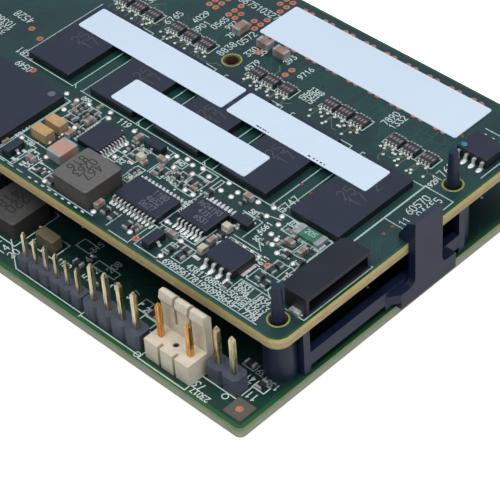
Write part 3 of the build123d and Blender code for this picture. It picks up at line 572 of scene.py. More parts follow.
# The lower board's tracks are painted darker under the cache board: painted shade
finish("base_track", *TRACK, **MASKED, patch=(*SHADE_UNDER_CACHE, (0.0012, 0.012, 0.010)))
finish("bare_track", (0.075, 0.085, 0.040), (0.13, 0.135, 0.075), 0.45, **MASKED)
finish("patch", (0.060, 0.060, 0.045), (0.095, 0.085, 0.070), 0.45, **MASKED)
finish("copper", (0.34, 0.115, 0.07), (0.50, 0.20, 0.13), 0.45, **COPPERED, Metallic=0.2)
finish("copper_dark", (0.16, 0.035, 0.022), (0.24, 0.06, 0.04), 0.5, **COPPERED)
finish("ring_gold", (0.16, 0.19, 0.035), (0.28, 0.29, 0.07), 0.4, **GLAZED)
finish("paper", (0.555, 0.66, 0.79), (0.595, 0.70, 0.82), 0.6, 0.08, 60, 3000, 0.08, 0.01,
       Specular_IOR_Level=0.2)
# The inductors' darker sides are painted shade
finish("inductor", (0.087, 0.082, 0.079), (0.113, 0.108, 0.104), 0.6, **PRESSED, sides=(0.040, 0.036, 0.030))
# The lower board's inductors have a darker copy of the inductor finish: painted shade under the cache board
finish("shaded_inductor", (0.034, 0.033, 0.031), (0.052, 0.050, 0.047), 0.6, **PRESSED,
       sides=(0.016, 0.014, 0.011))
finish("mark_dark", (0.010, 0.009, 0.008), (0.020, 0.018, 0.017), 0.7, **MARKED)
finish("mark_faint", (0.040, 0.041, 0.050), (0.075, 0.074, 0.082), 0.65, **MARKED)
finish("mark_grey", (0.080, 0.088, 0.105), (0.13, 0.14, 0.16), 0.65, **MARKED)
finish("tan", (0.40, 0.24, 0.10), (0.52, 0.33, 0.16), 0.4, **FIRED, patch=(*PINK_CAP, (0.43, 0.25, 0.19)))
finish("pale_tan", (0.42, 0.38, 0.26), (0.56, 0.51, 0.37), 0.4, **FIRED)
finish("brown", (0.17, 0.11, 0.085), (0.30, 0.20, 0.16), 0.42, **FIRED)
finish("array", (0.012, 0.012, 0.018), (0.024, 0.022, 0.030), 0.35, **GLAZED)
finish("array_middle", (0.15, 0.11, 0.115), (0.23, 0.17, 0.17), 0.5, **COATED, depth=0.01)
finish("resistor", (0.010, 0.011, 0.016), (0.024, 0.024, 0.030), 0.35, **GLAZED)
finish("green", (0.02, 0.10, 0.06), (0.04, 0.16, 0.10), 0.35, **COATED)
finish("teal", (0.01, 0.15, 0.20), (0.02, 0.24, 0.30), 0.3, **COATED)
finish("steel", (0.50, 0.50, 0.49), (0.66, 0.66, 0.65), 0.30, 0.16, 300, 3500, 0.25, 0.01, (1, 14, 1),
       Metallic=1)
finish("anodised", (0.030, 0.031, 0.034), (0.052, 0.053, 0.056), 0.38, 0.14, 200, 4000, 0.3, 0.02, (1, 12, 1),
       Metallic=0.6)
finish("nylon", (0.020, 0.021, 0.025), (0.035, 0.036, 0.041), 0.45, 0.12, 400, 4000, 0.25)
board_finish(
    "mezz_board", MEZZ_LOW, MEZZ_HIGH, 2.0,
    ((0.001, 0.016, 0.016), (0.003, 0.028, 0.026), (0.006, 0.038, 0.034)),
    ((0.46, 0.37, 0.15), (0.35, 0.27, 0.135), (0.60, 0.50, 0.26)), (0.75, 0.95), (0.3, (0.008, 0.060, 0.016)))
# The lower board's mask is painted darker under the cache board: painted shade
board_finish(
    "base_board", np.array([BASE_LOW[0], BASE_NEAR, BASE_LOW[2]]), BASE_HIGH, 0.9,
    ((0.001, 0.020, 0.013), (0.003, 0.034, 0.024), (0.005, 0.042, 0.030)),
    ((0.15, 0.23, 0.11), (0.26, 0.265, 0.19), (0.34, 0.34, 0.26)), (0.85, 1.15), (0.6, (0.012, 0.075, 0.020)),
    (*SHADE_UNDER_CACHE, 2.5, (0.0006, 0.0060, 0.0045), 0.75))

NODE_FINISH = {
    "chip": ["controller_chip", "flash_package", "buffer_chip", "switch_chip", "regulator_chip", "monitor_chip",
             "clock_chip", "base_chips", "small_transistors"] + [f"memory_chip_{i}" for i in range(1, 6)],
    "moulding": ["mezz_frame", "mezz_posts", "board_socket", "board_plug", "sas_insert_1", "sas_insert_2"],
    "connector": ["cable_connector"],
    "header": ["two_way_header", "four_way_header", "six_way_header"],
    "cream": ["key_header"],
    "gold": ["edge_contacts", "two_way_header_pins", "four_way_header_pins", "six_way_header_pins"],
    "orange_gold": ["key_header_pins"],
    "tin": ["connector_tabs", "buffer_leads", "switch_leads", "regulator_leads", "monitor_leads", "clock_leads",
            "transistor_leads"],
    "ends": ["chip_ends"],
    "paper": [f"label_{i}" for i in range(1, 5)],
    "inductor": ["mezz_inductor"],
    "shaded_inductor": ["base_inductors"],
    "tan": ["large_capacitors"],
    "shaded_olive": ["moulded_capacitor"],
    "brown": ["chip_capacitors"],
    "resistor": ["chip_resistors"],
    "array": ["resistor_arrays"],
    "green": ["sense_resistor"],
    "steel": ["bracket", "bracket_screws", "pin_springs", "sas_shell_1", "sas_shell_2"],
    "anodised": ["heat_sink"],
    "nylon": ["heat_sink_pins"],
    "mezz_board": ["mezz_board"],
    "base_board": ["base_board"],
}


def dress_nodes():
    """Give every CAD node its finish."""
    for key, names in NODE_FINISH.items():
        for name in names:
            materials = nodes[name].data.materials
            materials.clear()
            materials.append(MATERIAL[key])


# Heights of what is printed and plated on the boards
TRACK_THICK = 0.015
PAD_THICK = 0.03
SILK_THICK = 0.035
DOT_THICK = 0.04
MARK_THICK = 0.012

# Resistor arrays: the middle of each package, and how far apart their four elements are
ARRAY_PITCH = 0.52
ARRAYS = ([(spot, 36.4) for spot in (13.7, 11.1, 8.2, 25, 22.5, 19.8)]
          + [(spot, 34.9) for spot in (36.9, 34.4, 31.5, 52.3, 49.6, 46.7, 62.6, 59.9, 57.1)])


def array_tracks():
    """Tracks from each array's terminals, down to small vias and up towards the stacking connector."""
    low, high, ends = [], [], []
    for inward, upward in ARRAYS:
        for index in range(4):
            start = inward + (index - 1.5) * ARRAY_PITCH
            lean = rng.choice([-0.5, 0, 0.5]) + 0.15 * (index - 1.5)
            stop = upward - rng.choice([1.9, 2.4, 2.9, 3.4])
            low.append(up([start, start, start + lean, start + lean],
                          [upward - 0.9, upward - 1.3, upward - 1.3 - abs(lean), stop]))
            ends.append((start + lean, stop))
            slant = rng.uniform(-1.4, 1.4)
            high.append(up([start, start, start + slant, start + slant],
                           [upward + 0.9, upward + 1.6, upward + 1.6 + abs(slant), 41.6]))
    return low, high, ends


def cache_tracks():
    """Tracks under the cache board's mask: bundles between chips and connector, and short ones."""
    paths = []
    routes = [
        ([64, 66, 72, 80.8], [36, 38, 38, 38.0], 9), ([70, 74, 74, 84], [28, 24, 18, 16], 10),
        ([71.5, 74, 74, 82], [4, 4, 8, 14], 6), ([66, 68, 70, 80.8], [31, 33, 33, 33], 7),
        ([6.2, 6.2, 7.6, 16], [17, 33, 34.4, 34.4], 3), ([0.8, 0.8], [20, 33], 1),
        ([16.5, 16.5], [17.4, 31.8], 2), ([28.8, 28.8], [17.4, 31.8], 2), ([41, 41.0], [17.4, 31.8], 2),
        ([53.3, 53.3], [17.4, 31.8], 2), ([1.6, 1.6, 3, 3.0], [12, 19, 20.4, 24], 3),
        ([15.5, 17, 19.5], [36, 37.8, 41.0], 4), ([27, 28.6, 29.4], [37.4, 39, 41.4], 4),
        ([8.6, 7.4, 7.4], [50.2, 49, 43.0], 3)]
    for inward, upward, count in routes:
        paths += bundle(up(inward, upward), count, 0.42)
    paths += scattered(up, 260, (5.5, 52), (1.5, 16.8), (2, 5), 1.3)
    paths += scattered(up, 70, (2, 80), (37.5, 41), (3, 6), 1.5)
    low, high = up(85.4, 0.6), up(0.6, 50.4)
    return [np.clip(path, low, high) for path in paths]


# The ground hole and the four stud holes of the cache board
GROUND_HOLE = (41.8, 34.85)
HOLE_PLACES = at(up, [(2.9, 3.1), (2.9, 34.85), GROUND_HOLE, (83.1, 3.1), (83.1, 34.85)])
HOLE_MARGIN = 1.65


def clear_of_holes(paths):
    """The paths of which every stretch passes outside the margin of every hole in the cache board."""
    kept = []
    for path in paths:
        share = np.linspace(0, 1, 12)[:, None, None]
        spots = (path[:-1] * (1 - share) + path[1:] * share).reshape(-1, 1, 2)
        if np.hypot(*(spots - HOLE_PLACES).T).min() > HOLE_MARGIN:
            kept.append(path)
    return kept


def loose_figures(count):
    """A plain number of so many figures."""
    return "".join(str(figure) for figure in rng.integers(0, 10, count))


# Printed numbers on the cache board: (inward, upward, how many figures, height, turn)
CACHE_NUMBERS = [
    (17.4, 39.5, 4, 1, 90), (16.1, 39.5, 4, 1, 90), (28.4, 37.3, 4, 0.8, 0), (28.4, 36.3, 4, 0.8, 0),
    (28.4, 35.3, 4, 0.8, 0), (32.2, 39.2, 4, 0.9, 90), (38.9, 35.8, 4, 0.9, 90), (44.1, 36.2, 4, 1.1, 90),
    (43.6, 39.6, 4, 1.1, 90), (45.8, 39.4, 4, 0.9, 90), (47.3, 40.4, 3, 0.9, 90), (48.9, 39.7, 4, 1, 90),
    (51.9, 39, 4, 1, 90), (50.3, 37.4, 4, 1, 90), (54.7, 36.4, 4, 1.1, 90), (60.1, 37, 3, 1, 90),
    (39.8, 39, 3, 0.9, 90), (41.1, 37.9, 3, 1, 90), (47.5, 45.7, 10, 1.1, 0), (35.8, 40, 3, 0.9, 90),
    (5.2, 35.9, 4, 1.3, 90), (4.95, 33.2, 4, 0.75, 90), (2.3, 29.6, 5, 1.1, 90), (3.7, 29, 5, 1.1, 90),
    (2.9, 25.6, 2, 1, 90), (15.9, 18.7, 4, 1.1, 90), (64.3, 17.6, 4, 1.2, 180), (70.9, 23, 4, 1.2, 180),
    (72.2, 20.6, 5, 1.1, 180), (72.2, 19.2, 5, 1.1, 180), (72.2, 17.8, 5, 1.1, 180), (62.5, 15.6, 4, 1, 180),
    (14.4, 1.35, 19, 0.85, 0), (13.1, 2.55, 14, 0.85, 0), (9.5, 3.6, 4, 0.75, 0), (9.5, 4.5, 4, 0.75, 0),
    (6.2, 4.2, 3, 0.85, 0), (6, 3.2, 4, 0.85, 0), (6, 2.2, 4, 0.85, 0), (5.8, 1.3, 4, 0.75, 0),
    (7.9, 2.2, 4, 0.8, 90), (18.2, 7.9, 3, 0.8, 0), (15.15, 13.5, 4, 0.8, 90), (14, 11.5, 4, 0.7, 0),
    (12.2, 16.4, 3, 0.8, 0), (18, 14.7, 3, 0.7, 0), (25.4, 9.8, 5, 0.75, 90), (21.9, 6.1, 4, 0.6, 0),
    (37.4, 14.2, 3, 0.8, 90), (34.8, 9.7, 4, 0.8, 90), (38.2, 10.6, 3, 0.8, 0), (43.2, 16.1, 3, 1, 0),
    (46.6, 3, 4, 0.85, 90), (49.7, 5.3, 3, 0.7, 0), (50.6, 16.2, 3, 0.7, 0), (31, 12.2, 4, 0.7, 0),
    (31.8, 15.3, 3, 0.6, 0), (11.2, 8.9, 4, 0.75, 90), (6.9, 9, 3, 0.7, 90), (52.3, 6.4, 5, 0.75, 90),
]


# Middles of the memory chips, inward
MEMORY_MIDDLES = 10.4 + 12.25 * np.arange(5)


def cache_print():
    """Printed frames and lines on the cache board: round the arrays, the memory chips and the rest."""
    paths = []
    for low, high, upward in ((6.9, 15.1, 36.4), (18.5, 26.3, 36.4), (30.2, 38.3, 34.9), (45.3, 53.7, 34.9),
                              (55.7, 64, 34.9)):
        below, above = upward - 1.15, upward + 1.15
        paths += drawn(up, [(low, below, high, above)] + [
            (line, below, line, above) for line in (low + (high - low) / 3, high - (high - low) / 3)])
    for middle in MEMORY_MIDDLES:
        first = middle - 5.2
        paths += drawn(up, [(first, 17, middle + 5.2, 32.1), ([first, middle - 5.8], [17.6, 17])])
    paths += drawn(up, [
        (0.7, 24.5, 5.3, 32.3), (51.9, 0.7, 71.2, 14.6), (37.9, 45.2, 38.3, 45.6), (7, 14.9, 12.3, 17.1),
        (33.4, 14.3, 39.8, 16.2), (21.4, 0.9, 25.3, 4.9), (48.2, 1, 52.2, 5.2), (20.8, 2.3, 21.9, 4.2),
        (18.4, 2.2, 20.1, 5), (9.6, 12.4, 11.6, 14.6), (7.1, 12.4, 9.3, 14.6), (7.9, 7.9, 9.9, 10.4),
        (7.3, 5.6, 10.6, 7.9), (11.7, 14.6, 13.4, 16.9), (36.3, 11.6, 38.2, 14), (34.2, 8.3, 35.6, 11.4),
        (29.2, 12.7, 30.4, 14.4), (47, 11.6, 50.2, 15.6), (42.9, 1.6, 45.8, 3.6), (26.3, 13, 28.9, 15),
        (5.3, 17, 5.3, 24.5), ([0.45, 0.45, 3.4], [17, 4.9, 4.9]), (0.45, 17, 4.9, 17), (34.2, 17, 52.6, 17),
        (26, 17, 33.8, 17), (7.4, 17, 24.6, 17), ([19.3, 16, 16], [14.1, 14.1, 10.5]), (17.1, 9.6, 11.8, 9.6),
        (17.1, 5.2, 17.1, 9.6), (25.6, 5.6, 25.6, 11.4), ([25.3, 19.4, 19.4], [5.65, 5.65, 9.4]),
        (13.5, 14.8, 6.9, 14.8), (6.95, 17, 6.95, 12.4), ([7.2, 7.2, 6], [11.2, 5.8, 4.9]),
        (10.9, 3, 10.9, 5.1), (10.9, 5.1, 4.9, 5.1), (7.4, 1, 7.4, 5), (30.4, 1, 30.4, 3.6),
        (52.1, 5.9, 52.1, 14.5), (52, 5.9, 46.9, 5.9), ([33.9, 33.9, 34.9], [11.4, 16.2, 16.2]),
        (39.9, 10, 39.9, 13), (46, 11.2, 46, 15.6), (26, 4.95, 18.4, 4.95), ([1, 1, 6.7], [38, 45.9, 45.9]),
        ([48.6, 48.6, 47], [1, 4.6, 4.6]), (8, 15.2, 8.6, 16.9), (12.4, 15.9, 13.3, 16.8),
        (9.8, 11.2, 10.9, 12.1), (7.2, 10.5, 8.2, 11.8),
        (17.2, 11.9, 19, 14), (26.2, 11.6, 29, 12.4), (26.2, 15.2, 28.4, 16.6), (31.6, 11.5, 33.6, 13.5),
        (30.8, 14.6, 32.4, 15.8), (38.4, 9.9, 39.8, 11.8), (48.9, 12.9, 50.6, 15.6), (47.1, 13, 48.9, 15.4),
        (42, 1.5, 43, 3.8), (47, 3.9, 48.4, 4.7), (34.4, 9.6, 35.7, 10.9), (24.9, 11.6, 25.5, 16.4),
        (21, 0.7, 4.2, 0.7), (41.5, 1.05, 33, 1.05), ([29.9, 29.5, 29.1, 29.9], [11.7, 12.2, 11.7, 11.7]),
        ([18, 14.6], [15, 15.9]), ([13.6, 12.6], [11, 10.2]), (19.6, 5.8, 19.6, 11.4),
        (17.1, 10.15, 13, 10.15), (6.9, 2, 6.9, 4.6), (8.6, 1, 8.6, 4.6), (33.2, 5, 26.2, 5),
        (26.1, 0.8, 26.1, 3.9), (26.1, 0.55, 29.5, 0.55)])
    return paths + drawn(up, [(start, 0.75, start + 1, 0.75) for start in np.arange(46, 52, 1.75)])


SOLDER_DOTS = [
    (19, 16.4), (16.8, 16.9), (14.9, 16.4), (14.2, 15), (16.4, 15.2), (13.7, 13.2), (12.5, 12.9),
    (12.3, 11.9), (10.8, 11.2), (8, 11.1), (21.2, 5), (21.2, 1.5), (26.2, 12), (24.1, 14.9),
    (22.3, 14.9), (22.2, 16), (24.3, 16.6), (33.1, 15.9), (31.6, 16.4), (30.3, 16), (28.8, 16.4),
    (27.1, 15.8), (33.9, 15), (29.1, 14.8), (31.8, 14.1), (27.6, 12), (39.8, 13.3), (39.1, 10.6),
    (40.9, 15.8), (45.4, 15.4), (46.1, 16.4), (49.5, 15.7), (51.4, 15.2), (53.5, 15.3), (51.3, 12.8),
    (47.4, 11.2), (47.8, 9.2), (47.8, 7), (45.8, 4.8), (51.2, 5.3), (42.4, 1.5), (31.1, 13.4),
    (27.2, 2), (25.1, 6.4), (33.4, 1.6)]
COPPER_DOTS = [
    (10.2, 8.9), (25.8, 1.7), (34.1, 38.5), (34.1, 37.2), (40.3, 38.4), (65.4, 21.1), (60.8, 15.8),
    (68, 21.9)]
COPPER_FLECKS = [(3.4, 24), (3.4, 22.3), (15.2, 22), (17.3, 22.5), (62.8, 30.4), (61.5, 38.9)]


def link_vias():
    """Copper via places over the stacking connector: pairs in six rows, of which the label hides four."""
    first = 44.35 - 3.77 * 9 + 3.77 * np.arange(18)
    pairs = np.r_[first, first + 1.25]
    beyond = pairs[pairs > 43.8]
    rows = [up(pairs[pairs < 43.8], np.full((pairs < 43.8).sum(), row)) for row in (41.98, 49.3)]
    rows += [up(beyond, np.full(len(beyond), row)) for row in (41.9, 43.1, 48.3, 49.6)]
    rows += [up(beyond[::2], np.full(len(beyond[::2]), row)) for row in (44.4, 47)]
    return np.concatenate(rows)


# Tiny parts: (inward, upward, turned across the card)
TINY_RESISTORS = [
    (10.6, 14.5, 0), (8.5, 14.4, 0), (49.8, 15.1, 0), (49.8, 14.3, 0), (48.3, 14, 0), (48.3, 13.3, 0),
    (46.5, 14.4, 1), (47.9, 12.6, 0), (29.4, 13.7, 1), (28.5, 12.5, 0), (26.6, 14.2, 1), (38.7, 13.1, 1),
    (38.2, 14.3, 0), (35, 10.6, 0), (35, 9.9, 0), (13.2, 11.6, 0), (16.9, 14.6, 1), (24.3, 5.1, 0),
    (27, 2.7, 0), (46.1, 11.2, 1), (42.3, 2.9, 1), (20.4, 15, 1)]
TINY_CAPACITORS = [
    (49.8, 13.5, 0), (47.9, 16.2, 1), (50.9, 14.4, 1), (33, 13, 1), (31.1, 13.6, 1), (26.9, 12.9, 0),
    (32.8, 11.7, 0), (12.2, 15, 0), (27, 3.4, 0), (35.3, 12.2, 1), (47.1, 11.6, 0), (52.2, 3.4, 1),
    (11.6, 12.6, 1)]
TINY_BODY, TINY_END, TINY_REACH = (0.56, 0.5, 0.34), (0.26, 0.54, 0.37), 0.4

# Bare pads: (inward, upward, length along the card, length across it)
BARE_PADS = [
    (47.3, 2.2, 0.6, 0.3), (47.3, 1.7, 0.6, 0.3), (45.5, 3.6, 0.7, 0.3), (45.4, 2.2, 0.7, 0.3),
    (44.3, 3.1, 0.35, 0.35), (43.4, 3.1, 0.35, 0.35), (10.1, 12.4, 1.1, 0.4), (11.3, 6.7, 0.5, 2.3),
    (17.7, 4.2, 1.1, 0.5), (38.9, 12.2, 0.5, 0.5), (47.5, 13, 0.4, 0.6), (48.1, 10.6, 0.5, 0.7),
    (36.8, 11.2, 0.9, 0.4), (23.6, 3.5, 0.8, 0.5), (7.4, 15.6, 0.4, 1.1), (18.2, 11.6, 0.5, 0.8),
    (34.6, 9.2, 0.6, 0.4), (1.8, 5.5, 1.4, 0.5), (33.3, 12, 0.5, 0.3), (28.6, 13.3, 0.4, 0.4),
    (48.9, 3.75, 0.8, 0.45), (48.8, 1.8, 0.8, 0.45), (24.6, 6.4, 0.5, 0.4), (30.1, 11.9, 0.4, 0.3)]
BRIGHT_DASHES = 34.5 + 1.25 * np.arange(9)


def row_pads(centre, half, pitch, count, size, height=0.12, turned=False):
    """Rounded solder in two rows either side of a package's centre."""
    steps = np.tile((np.arange(count) - (count - 1) / 2) * pitch, 2)
    sides = np.repeat([-half, half], count)
    if turned:
        steps, sides, size = sides, steps, size[::-1]
    return stamp(DOME, up(centre[0] + steps, centre[1] + sides), (*size, height))


def cache_details():
    """Everything printed and plated on the cache board."""
    low, high, ends = array_tracks()
    tracks = clear_of_holes(cache_tracks() + high)
    piece("cache_tracks", [path_bars(tracks, 0.16, TRACK_THICK)], "track")
    pale = clear_of_holes(low + scattered(up, 26, (6, 66), (33, 36), (3, 6), 1.2))
    piece("cache_pale_tracks", [path_bars(pale, 0.12, TRACK_THICK * 1.4)], "bare_track")
    piece("cache_print", [path_bars(cache_print(), 0.15, SILK_THICK)], "silk")
    numbers = [(*row[:2], loose_figures(row[2]), *row[3:]) for row in CACHE_NUMBERS]
    bright = path_bars(figures(up, numbers), 0.13, SILK_THICK)
    dashes = stamp(BLOCK, up(BRIGHT_DASHES, np.full(9, 0.72)), (0.5, 0.24, SILK_THICK))
    piece("cache_numbers", [bright, dashes], "bright_silk")
    pads = [
        row_pads((29.5, 7.35), 2.85, 0.65, 12, (0.42, 1.1)), row_pads((21.9, 9.75), 3.1, 0.65, 7, (0.46, 1.3)),
        *(row_pads(centre, 2.7, 1.27, 4, (0.72, 1.35), 0.22) for centre in ((13.95, 6.35), (4.05, 41.75))),
        row_pads((42.9, 11.75), 2.6, 0.5, 9, (0.32, 1.1), turned=True),
        *(row_pads(centre, 0.98, ARRAY_PITCH, 4, (0.34, 0.5), 0.3) for centre in ARRAYS)]
    piece("lead_solder", pads, "solder", smooth=True)
    vias = at(up, ends + [(row[0] + shift, row[1] - 1.45) for row in ARRAYS for shift in (-0.7, 0.6)])
    small = up(rng.uniform(6, 53, 60), rng.uniform(1.6, 16.6, 60))
    bare = np.c_[np.array(BARE_PADS)[:, 2:], np.full(len(BARE_PADS), PAD_THICK)]
    piece("cache_pads", [stamp(BLOCK, at(up, BARE_PADS), bare), stamp(DISC, vias, (0.42, 0.42, PAD_THICK)),
                         stamp(DISC, small, (0.3, 0.3, PAD_THICK))], "solder")
    piece("solder_dots", [stamp(DOME, at(up, SOLDER_DOTS), (0.82, 0.82, 0.32))], "solder", smooth=True)
    copper = np.concatenate([at(up, COPPER_DOTS), link_vias()])
    piece("copper_rings", [stamp(ring_shape(0.2), copper, (0.98, 0.98, DOT_THICK))], "copper")
    piece("copper_centres", [stamp(DISC, copper, (0.38, 0.38, DOT_THICK / 2)),
                             stamp(DISC, at(up, COPPER_FLECKS), (0.5, 0.5, DOT_THICK))], "copper_dark")
    rings = stamp(ring_shape(0.417, 40), HOLE_PLACES, (2.9, 2.9, DOT_THICK))
    piece("hole_rings", [rings], "ring_gold")
    sleeve = stamp(ring_shape(0.42, 32), up(*GROUND_HOLE), (2.18, 2.18, 1.55), MEZZ_LOW[2] + 0.02)
    piece("hole_sleeve", [sleeve], "sleeve")
    dot = stamp(DOME, up(5.75, 40.4), (0.95, 0.8, 0.08), top_of("monitor_chip"))
    piece("teal_dot", [dot], "teal", smooth=True)


# Short flecks at one label's edge: (inward, length)
LABEL_FLECKS = [(28.4, .5), (27.9, .3), (27.4, .25), (27, .3), (26.5, .15), (19.3, .4), (18.5, .3), (17.9, .2),
                (17.3, .35), (16.7, .2)]


def chip_marks():
    """Plain numbers, a first-pin dot, label flecks and array middles on the packages."""
    rows = [(middle + shift, upward, text, 1.7, 90) for middle in MEMORY_MIDDLES
            for shift, upward, text in ((0.7, 24, "25"), (-1.3, 24, "17"), (-1.3, 27.2, "2"))]
    faint = path_bars(figures(up, rows), 0.12, MARK_THICK, top_of("memory_chip_1"))
    piece("memory_figures", [faint], "mark_faint")
    rows = [(28.2, 8.5, "1180", 0.85, 0), (28.2, 7.3, "4652", 0.85, 0), (28.2, 6.1, "0627", 0.85, 0),
            (21.9, 10.9, "9624193", 0.75, 0), (21.7, 9.8, "4731", 0.75, 0), (21.3, 8.7, "6531", 0.75, 0)]
    grey = [path_bars(figures(up, rows), 0.11, MARK_THICK, top_of("buffer_chip")),
            stamp(DISC, up(53.9, 13.1), (1.1, 1.1, MARK_THICK), top_of("flash_package"))]
    piece("chip_figures", grey, "mark_grey")

    rows = [(36.3, 4.55, "467", 1.35, -90), (37.7, 4.55, "0263", 1.25, -90), (39.1, 4.55, "816", 1.35, -90)]
    dark = [path_bars(figures(up, rows), 0.17, MARK_THICK, top_of("mezz_inductor"))]
    rows = [(middle + shift, 7.3, text, 1.6, -90) for middle in (48.2, 57.4)
            for shift, text in ((-0.8, "220"), (1, "418"))]
    dark.append(path_bars(figures(down, rows), 0.24, MARK_THICK, top_of("base_inductors")))
    dark += [stamp(BLOCK, up(inward, 26.1), (length, 0.22, MARK_THICK), top_of("label_3"))
             for inward, length in LABEL_FLECKS]
    piece("dark_figures", dark, "mark_dark")
    green = path_bars(figures(up, [(9.7, 16.1, "205", 0.75, 0)]), 0.12, MARK_THICK, top_of("sense_resistor"))
    piece("resistor_figures", [green], "silk")

    steps = (np.arange(4) - 1.5) * ARRAY_PITCH
    middles = np.concatenate([up(spot + steps, np.full(4, upward)) for spot, upward in ARRAYS])
    middles = stamp(BLOCK, middles, (0.30, 0.55, MARK_THICK), top_of("resistor_arrays"))
    piece("array_middles", [middles], "array_middle")


def base_details():
    """Everything printed and plated on the lower board."""
    paths = scattered(down, 150, (1, 70), (1, 20), (2, 6), 1.8)
    paths += scattered(down, 40, (0.8, 8), (9, 58), (2, 6), 1.8)
    for inward, upward, count, pitch in (
            ([70, 84, 90, 108], [10, 10, 16, 16], 16, 0.5), ([118, 118, 122, 122], [0.5, 3, 7, 9], 8, 0.55),
            ([88, 88, 104, 104], [0.4, 6, 10, 12], 30, 0.5), ([86, 96, 100, 108], [44, 44, 40, 40], 14, 0.5),
            ([124, 124], [42, 46.5], 22, 0.5), ([148, 150, 150, 160], [30, 28, 18, 12], 8, 0.5)):
        paths += bundle(down(inward, upward), count, pitch)
    low, high = down(167, 0.8), down(0.8, 60)
    paths = [np.clip(path, low, high) for path in paths]
    piece("base_tracks", [path_bars(paths, 0.17, TRACK_THICK, BASE_TOP)], "base_track")

    lines = drawn(down, [
        (2, 6.1, 3.9, 7.3), (5.5, 8, 7.4, 9.1), (38.9, 5.2, 43.3, 8.4), (44.3, 3.6, 52.1, 11.4),
        (53.1, 3.6, 61.3, 11.4), (117, 9, 137, 29), (20.4, 6.2, 24.3, 8.1), (20.2, 4.1, 22.4, 6),
        (35.9, 9, 38.4, 10.6), (30, 7.8, 34, 9),
        ([28.5, 41, 46], [0.95, 0.95, 4.4]), (17.9, 0.65, 28.5, 0.65), (9.6, 0.3, 17.7, 0.3), (9.6, 0.3, 9.6, 4.3),
        (4, 3.35, 9.5, 3.35), (4.5, 3.9, 4.5, 6), (28.5, 0.4, 28.5, 1.5), (17.7, 0.3, 17.7, 1.5),
        (3.8, 4.2, 3.8, 7.3), (41.2, 4.2, 28, 4.2), (28, 4.4, 17.8, 4.4), (19.4, 5.6, 19.4, 6.4),
        (5.2, 6.3, 4.4, 6.3), (46, 4.4, 56, 4.4)])
    rows = [(45, 2.2, "14", 1.2, 90), (47, 2.4, "12", 1.2, 90), (43.4, 2.6, "20", 1.1, 90),
            (8.7, 1.9, "73", 1.1, 180), (7.6, 0.95, "23017", 0.8, 180), (2.8, 4.9, "11", 1.1, 180),
            (2.2, 7.8, "130", 0.9, 180), (4.3, 8.4, "139", 0.9, 180), (5, 7, "41", 0.9, 180),
            (22, 7.6, "1120", 0.8, 0), (22, 6.8, "2317", 0.8, 0), (33, 6.6, "512", 1.1, 90),
            (26, 7.4, "137", 0.9, 90), (35.2, 8.6, "44", 1.1, 90), (31.6, 9.4, "208", 1, 90),
            (60, 4.6, "118", 1.2, 0), (75, 14, "27", 1.6, 0), (96, 30, "5", 2.2, 0), (140, 6, "2216", 1.6, 0),
            (37, 5.6, "1120", 0.8, 0), (36, 10.5, "315", 0.9, 90), (29, 7.2, "20", 0.9, 90)]
    rings = stamp(ring_shape(0.36, 18), down([18.2, 5.2], [0.65, 2.8]), (0.95, 0.95, SILK_THICK), BASE_TOP)
    marks = [path_bars(lines, 0.15, SILK_THICK, BASE_TOP),
             path_bars(figures(down, rows), 0.13, SILK_THICK, BASE_TOP), rings]
    piece("base_print", marks, "base_silk")
    vias = down(rng.uniform(1.2, 100, 160), rng.uniform(1.5, 58, 160))
    piece("base_pads", [stamp(DISC, vias, (0.4, 0.4, PAD_THICK), BASE_TOP)], "solder")
    centre = down(2.45, 2.45)
    patch = stamp(BLOCK, centre, (2.9, 2.9, TRACK_THICK * 1.5), BASE_TOP)
    piece("fiducial_patch", [patch], "patch")
    piece("fiducial_dot", [stamp(DISC, centre, (1, 1, DOT_THICK), BASE_TOP)], "copper")
    # Painted shade: a dark disc in the key header's empty pin hole stands for the hole's shade
    low, high = box_mm("key_header_pins")
    shade = stamp(DISC, ((low + high) / 2)[:2], (0.78, 0.78, 2.95), BASE_TOP)
    piece("key_hole_shade", [shade], "connector")


def tiny_parts():
    """Tiny chip parts of the cache board: bodies of two kinds and their plated ends."""
    ends = []
    for name, rows, material, slot in (("tiny_resistors", TINY_RESISTORS, "resistor", "resistor_black"),
                                       ("tiny_capacitors", TINY_CAPACITORS, "brown", "brown_ceramic")):
        places, turns = at(up, rows), np.array(rows)[:, 2] * TAU / 4
        shift = np.stack([np.cos(turns), np.sin(turns)], -1) * TINY_REACH
        piece(name, [stamp(CHIP, places, TINY_BODY, turns=turns)], material)
        ends += [stamp(CHIP, spots, TINY_END, turns=turns) for spots in (places + shift, places - shift)]
    piece("tiny_ends", ends, "ends")
    pale = up([18.4, 17.9, 36.1], [10.3, 5.5, 12.5])
    sizes = [(1.15, 1, 0.86), (1, 1.15, 0.86), (1.15, 1, 0.86)]
    piece("pale_capacitor_tops", [stamp(CHIP, pale, np.array(sizes))], "pale_tan")


# Studio, in metres: sky colour and strength for matt surfaces and reflections, the floor, and each
# light's name, place, size and power
SKY_COLOUR = (0.70, 0.82, 1)
SKY = 0.04
GLOSSY_SKY = 0.75
FLOOR_TONE, FLOOR_GLOW = (0.7, 0.7, 0.7), 0.85
FLOOR_REACH, FLOOR_GAP = 1.5, 0.00005
LIT_PLACE = (0.08, 0.03, 0)
LIGHTS = [("overhead", (0.16, -0.06, 0.80), 0.7, 4.9), ("free end", (0.72, 0.05, 0.46), 0.45, 2.4),
          ("near side", (0.10, -0.50, 0.70), 0.45, 2.9)]


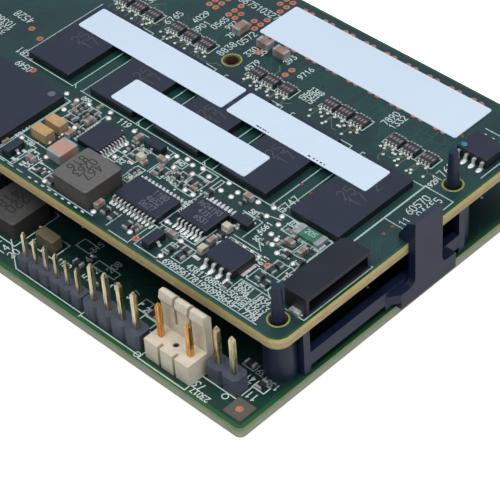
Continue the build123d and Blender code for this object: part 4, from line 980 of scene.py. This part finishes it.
def add_light(name, place, size, power):
    """A square soft light at a place in metres, turned to face the card."""
    data = bpy.data.lights.new(name, "AREA")
    data.size = size
    data.energy = power
    lamp = bpy.data.objects.new(name, data)
    lamp.location = place
    lamp.rotation_euler = (Vector(LIT_PLACE) - Vector(place)).to_track_quat("-Z", "Y").to_euler()
    bpy.context.scene.collection.objects.link(lamp)


def add_stage():
    """White world to the camera, a pale blue one to reflections, soft lights, and a pale floor."""
    world = bpy.data.worlds.new("studio")
    bpy.context.scene.world = world
    world.use_nodes = True
    tree = world.node_tree
    tree.nodes.clear()
    path = node(tree, "LightPath").outputs
    clear = maths(tree, "MAXIMUM", path["Is Camera Ray"], path["Is Transmission Ray"])
    strength = maths(tree, "MAXIMUM", clear, maths(tree, "MULTIPLY", path["Is Glossy Ray"], GLOSSY_SKY))
    background = node(tree, "Background", {0: blend(tree, clear, rgb(*SKY_COLOUR), rgb(1, 1, 1)),
                                           1: maths(tree, "MAXIMUM", strength, SKY)})
    out = node(tree, "OutputWorld")
    tree.links.new(background.outputs[0], out.inputs[0])

    tree, shader, _ = start_material("floor")
    shader.inputs["Base Color"].default_value = rgb(*FLOOR_TONE)
    shader.inputs["Roughness"].default_value = 0.9
    shader.inputs["Emission Color"].default_value = rgb(1, 1, 1)
    path = node(tree, "LightPath").outputs
    tree.links.new(maths(tree, "MULTIPLY", path["Is Camera Ray"], FLOOR_GLOW), shader.inputs["Emission Strength"])
    level = cad_box[0][2] - FLOOR_GAP
    mesh = bpy.data.meshes.new("floor")
    mesh.from_pydata([(x * FLOOR_REACH, y * FLOOR_REACH, level) for x, y in ((-1, -1), (1, -1), (1, 1), (-1, 1))],
                     [], [(0, 1, 2, 3)])
    mesh.materials.append(MATERIAL["floor"])
    floor = bpy.data.objects.new("floor", mesh)
    bpy.context.scene.collection.objects.link(floor)

    for row in LIGHTS:
        add_light(*row)
    bpy.context.scene.view_settings.view_transform = "Standard"


add_camera()
dress_nodes()
cache_details()
chip_marks()
base_details()
tiny_parts()
add_stage()
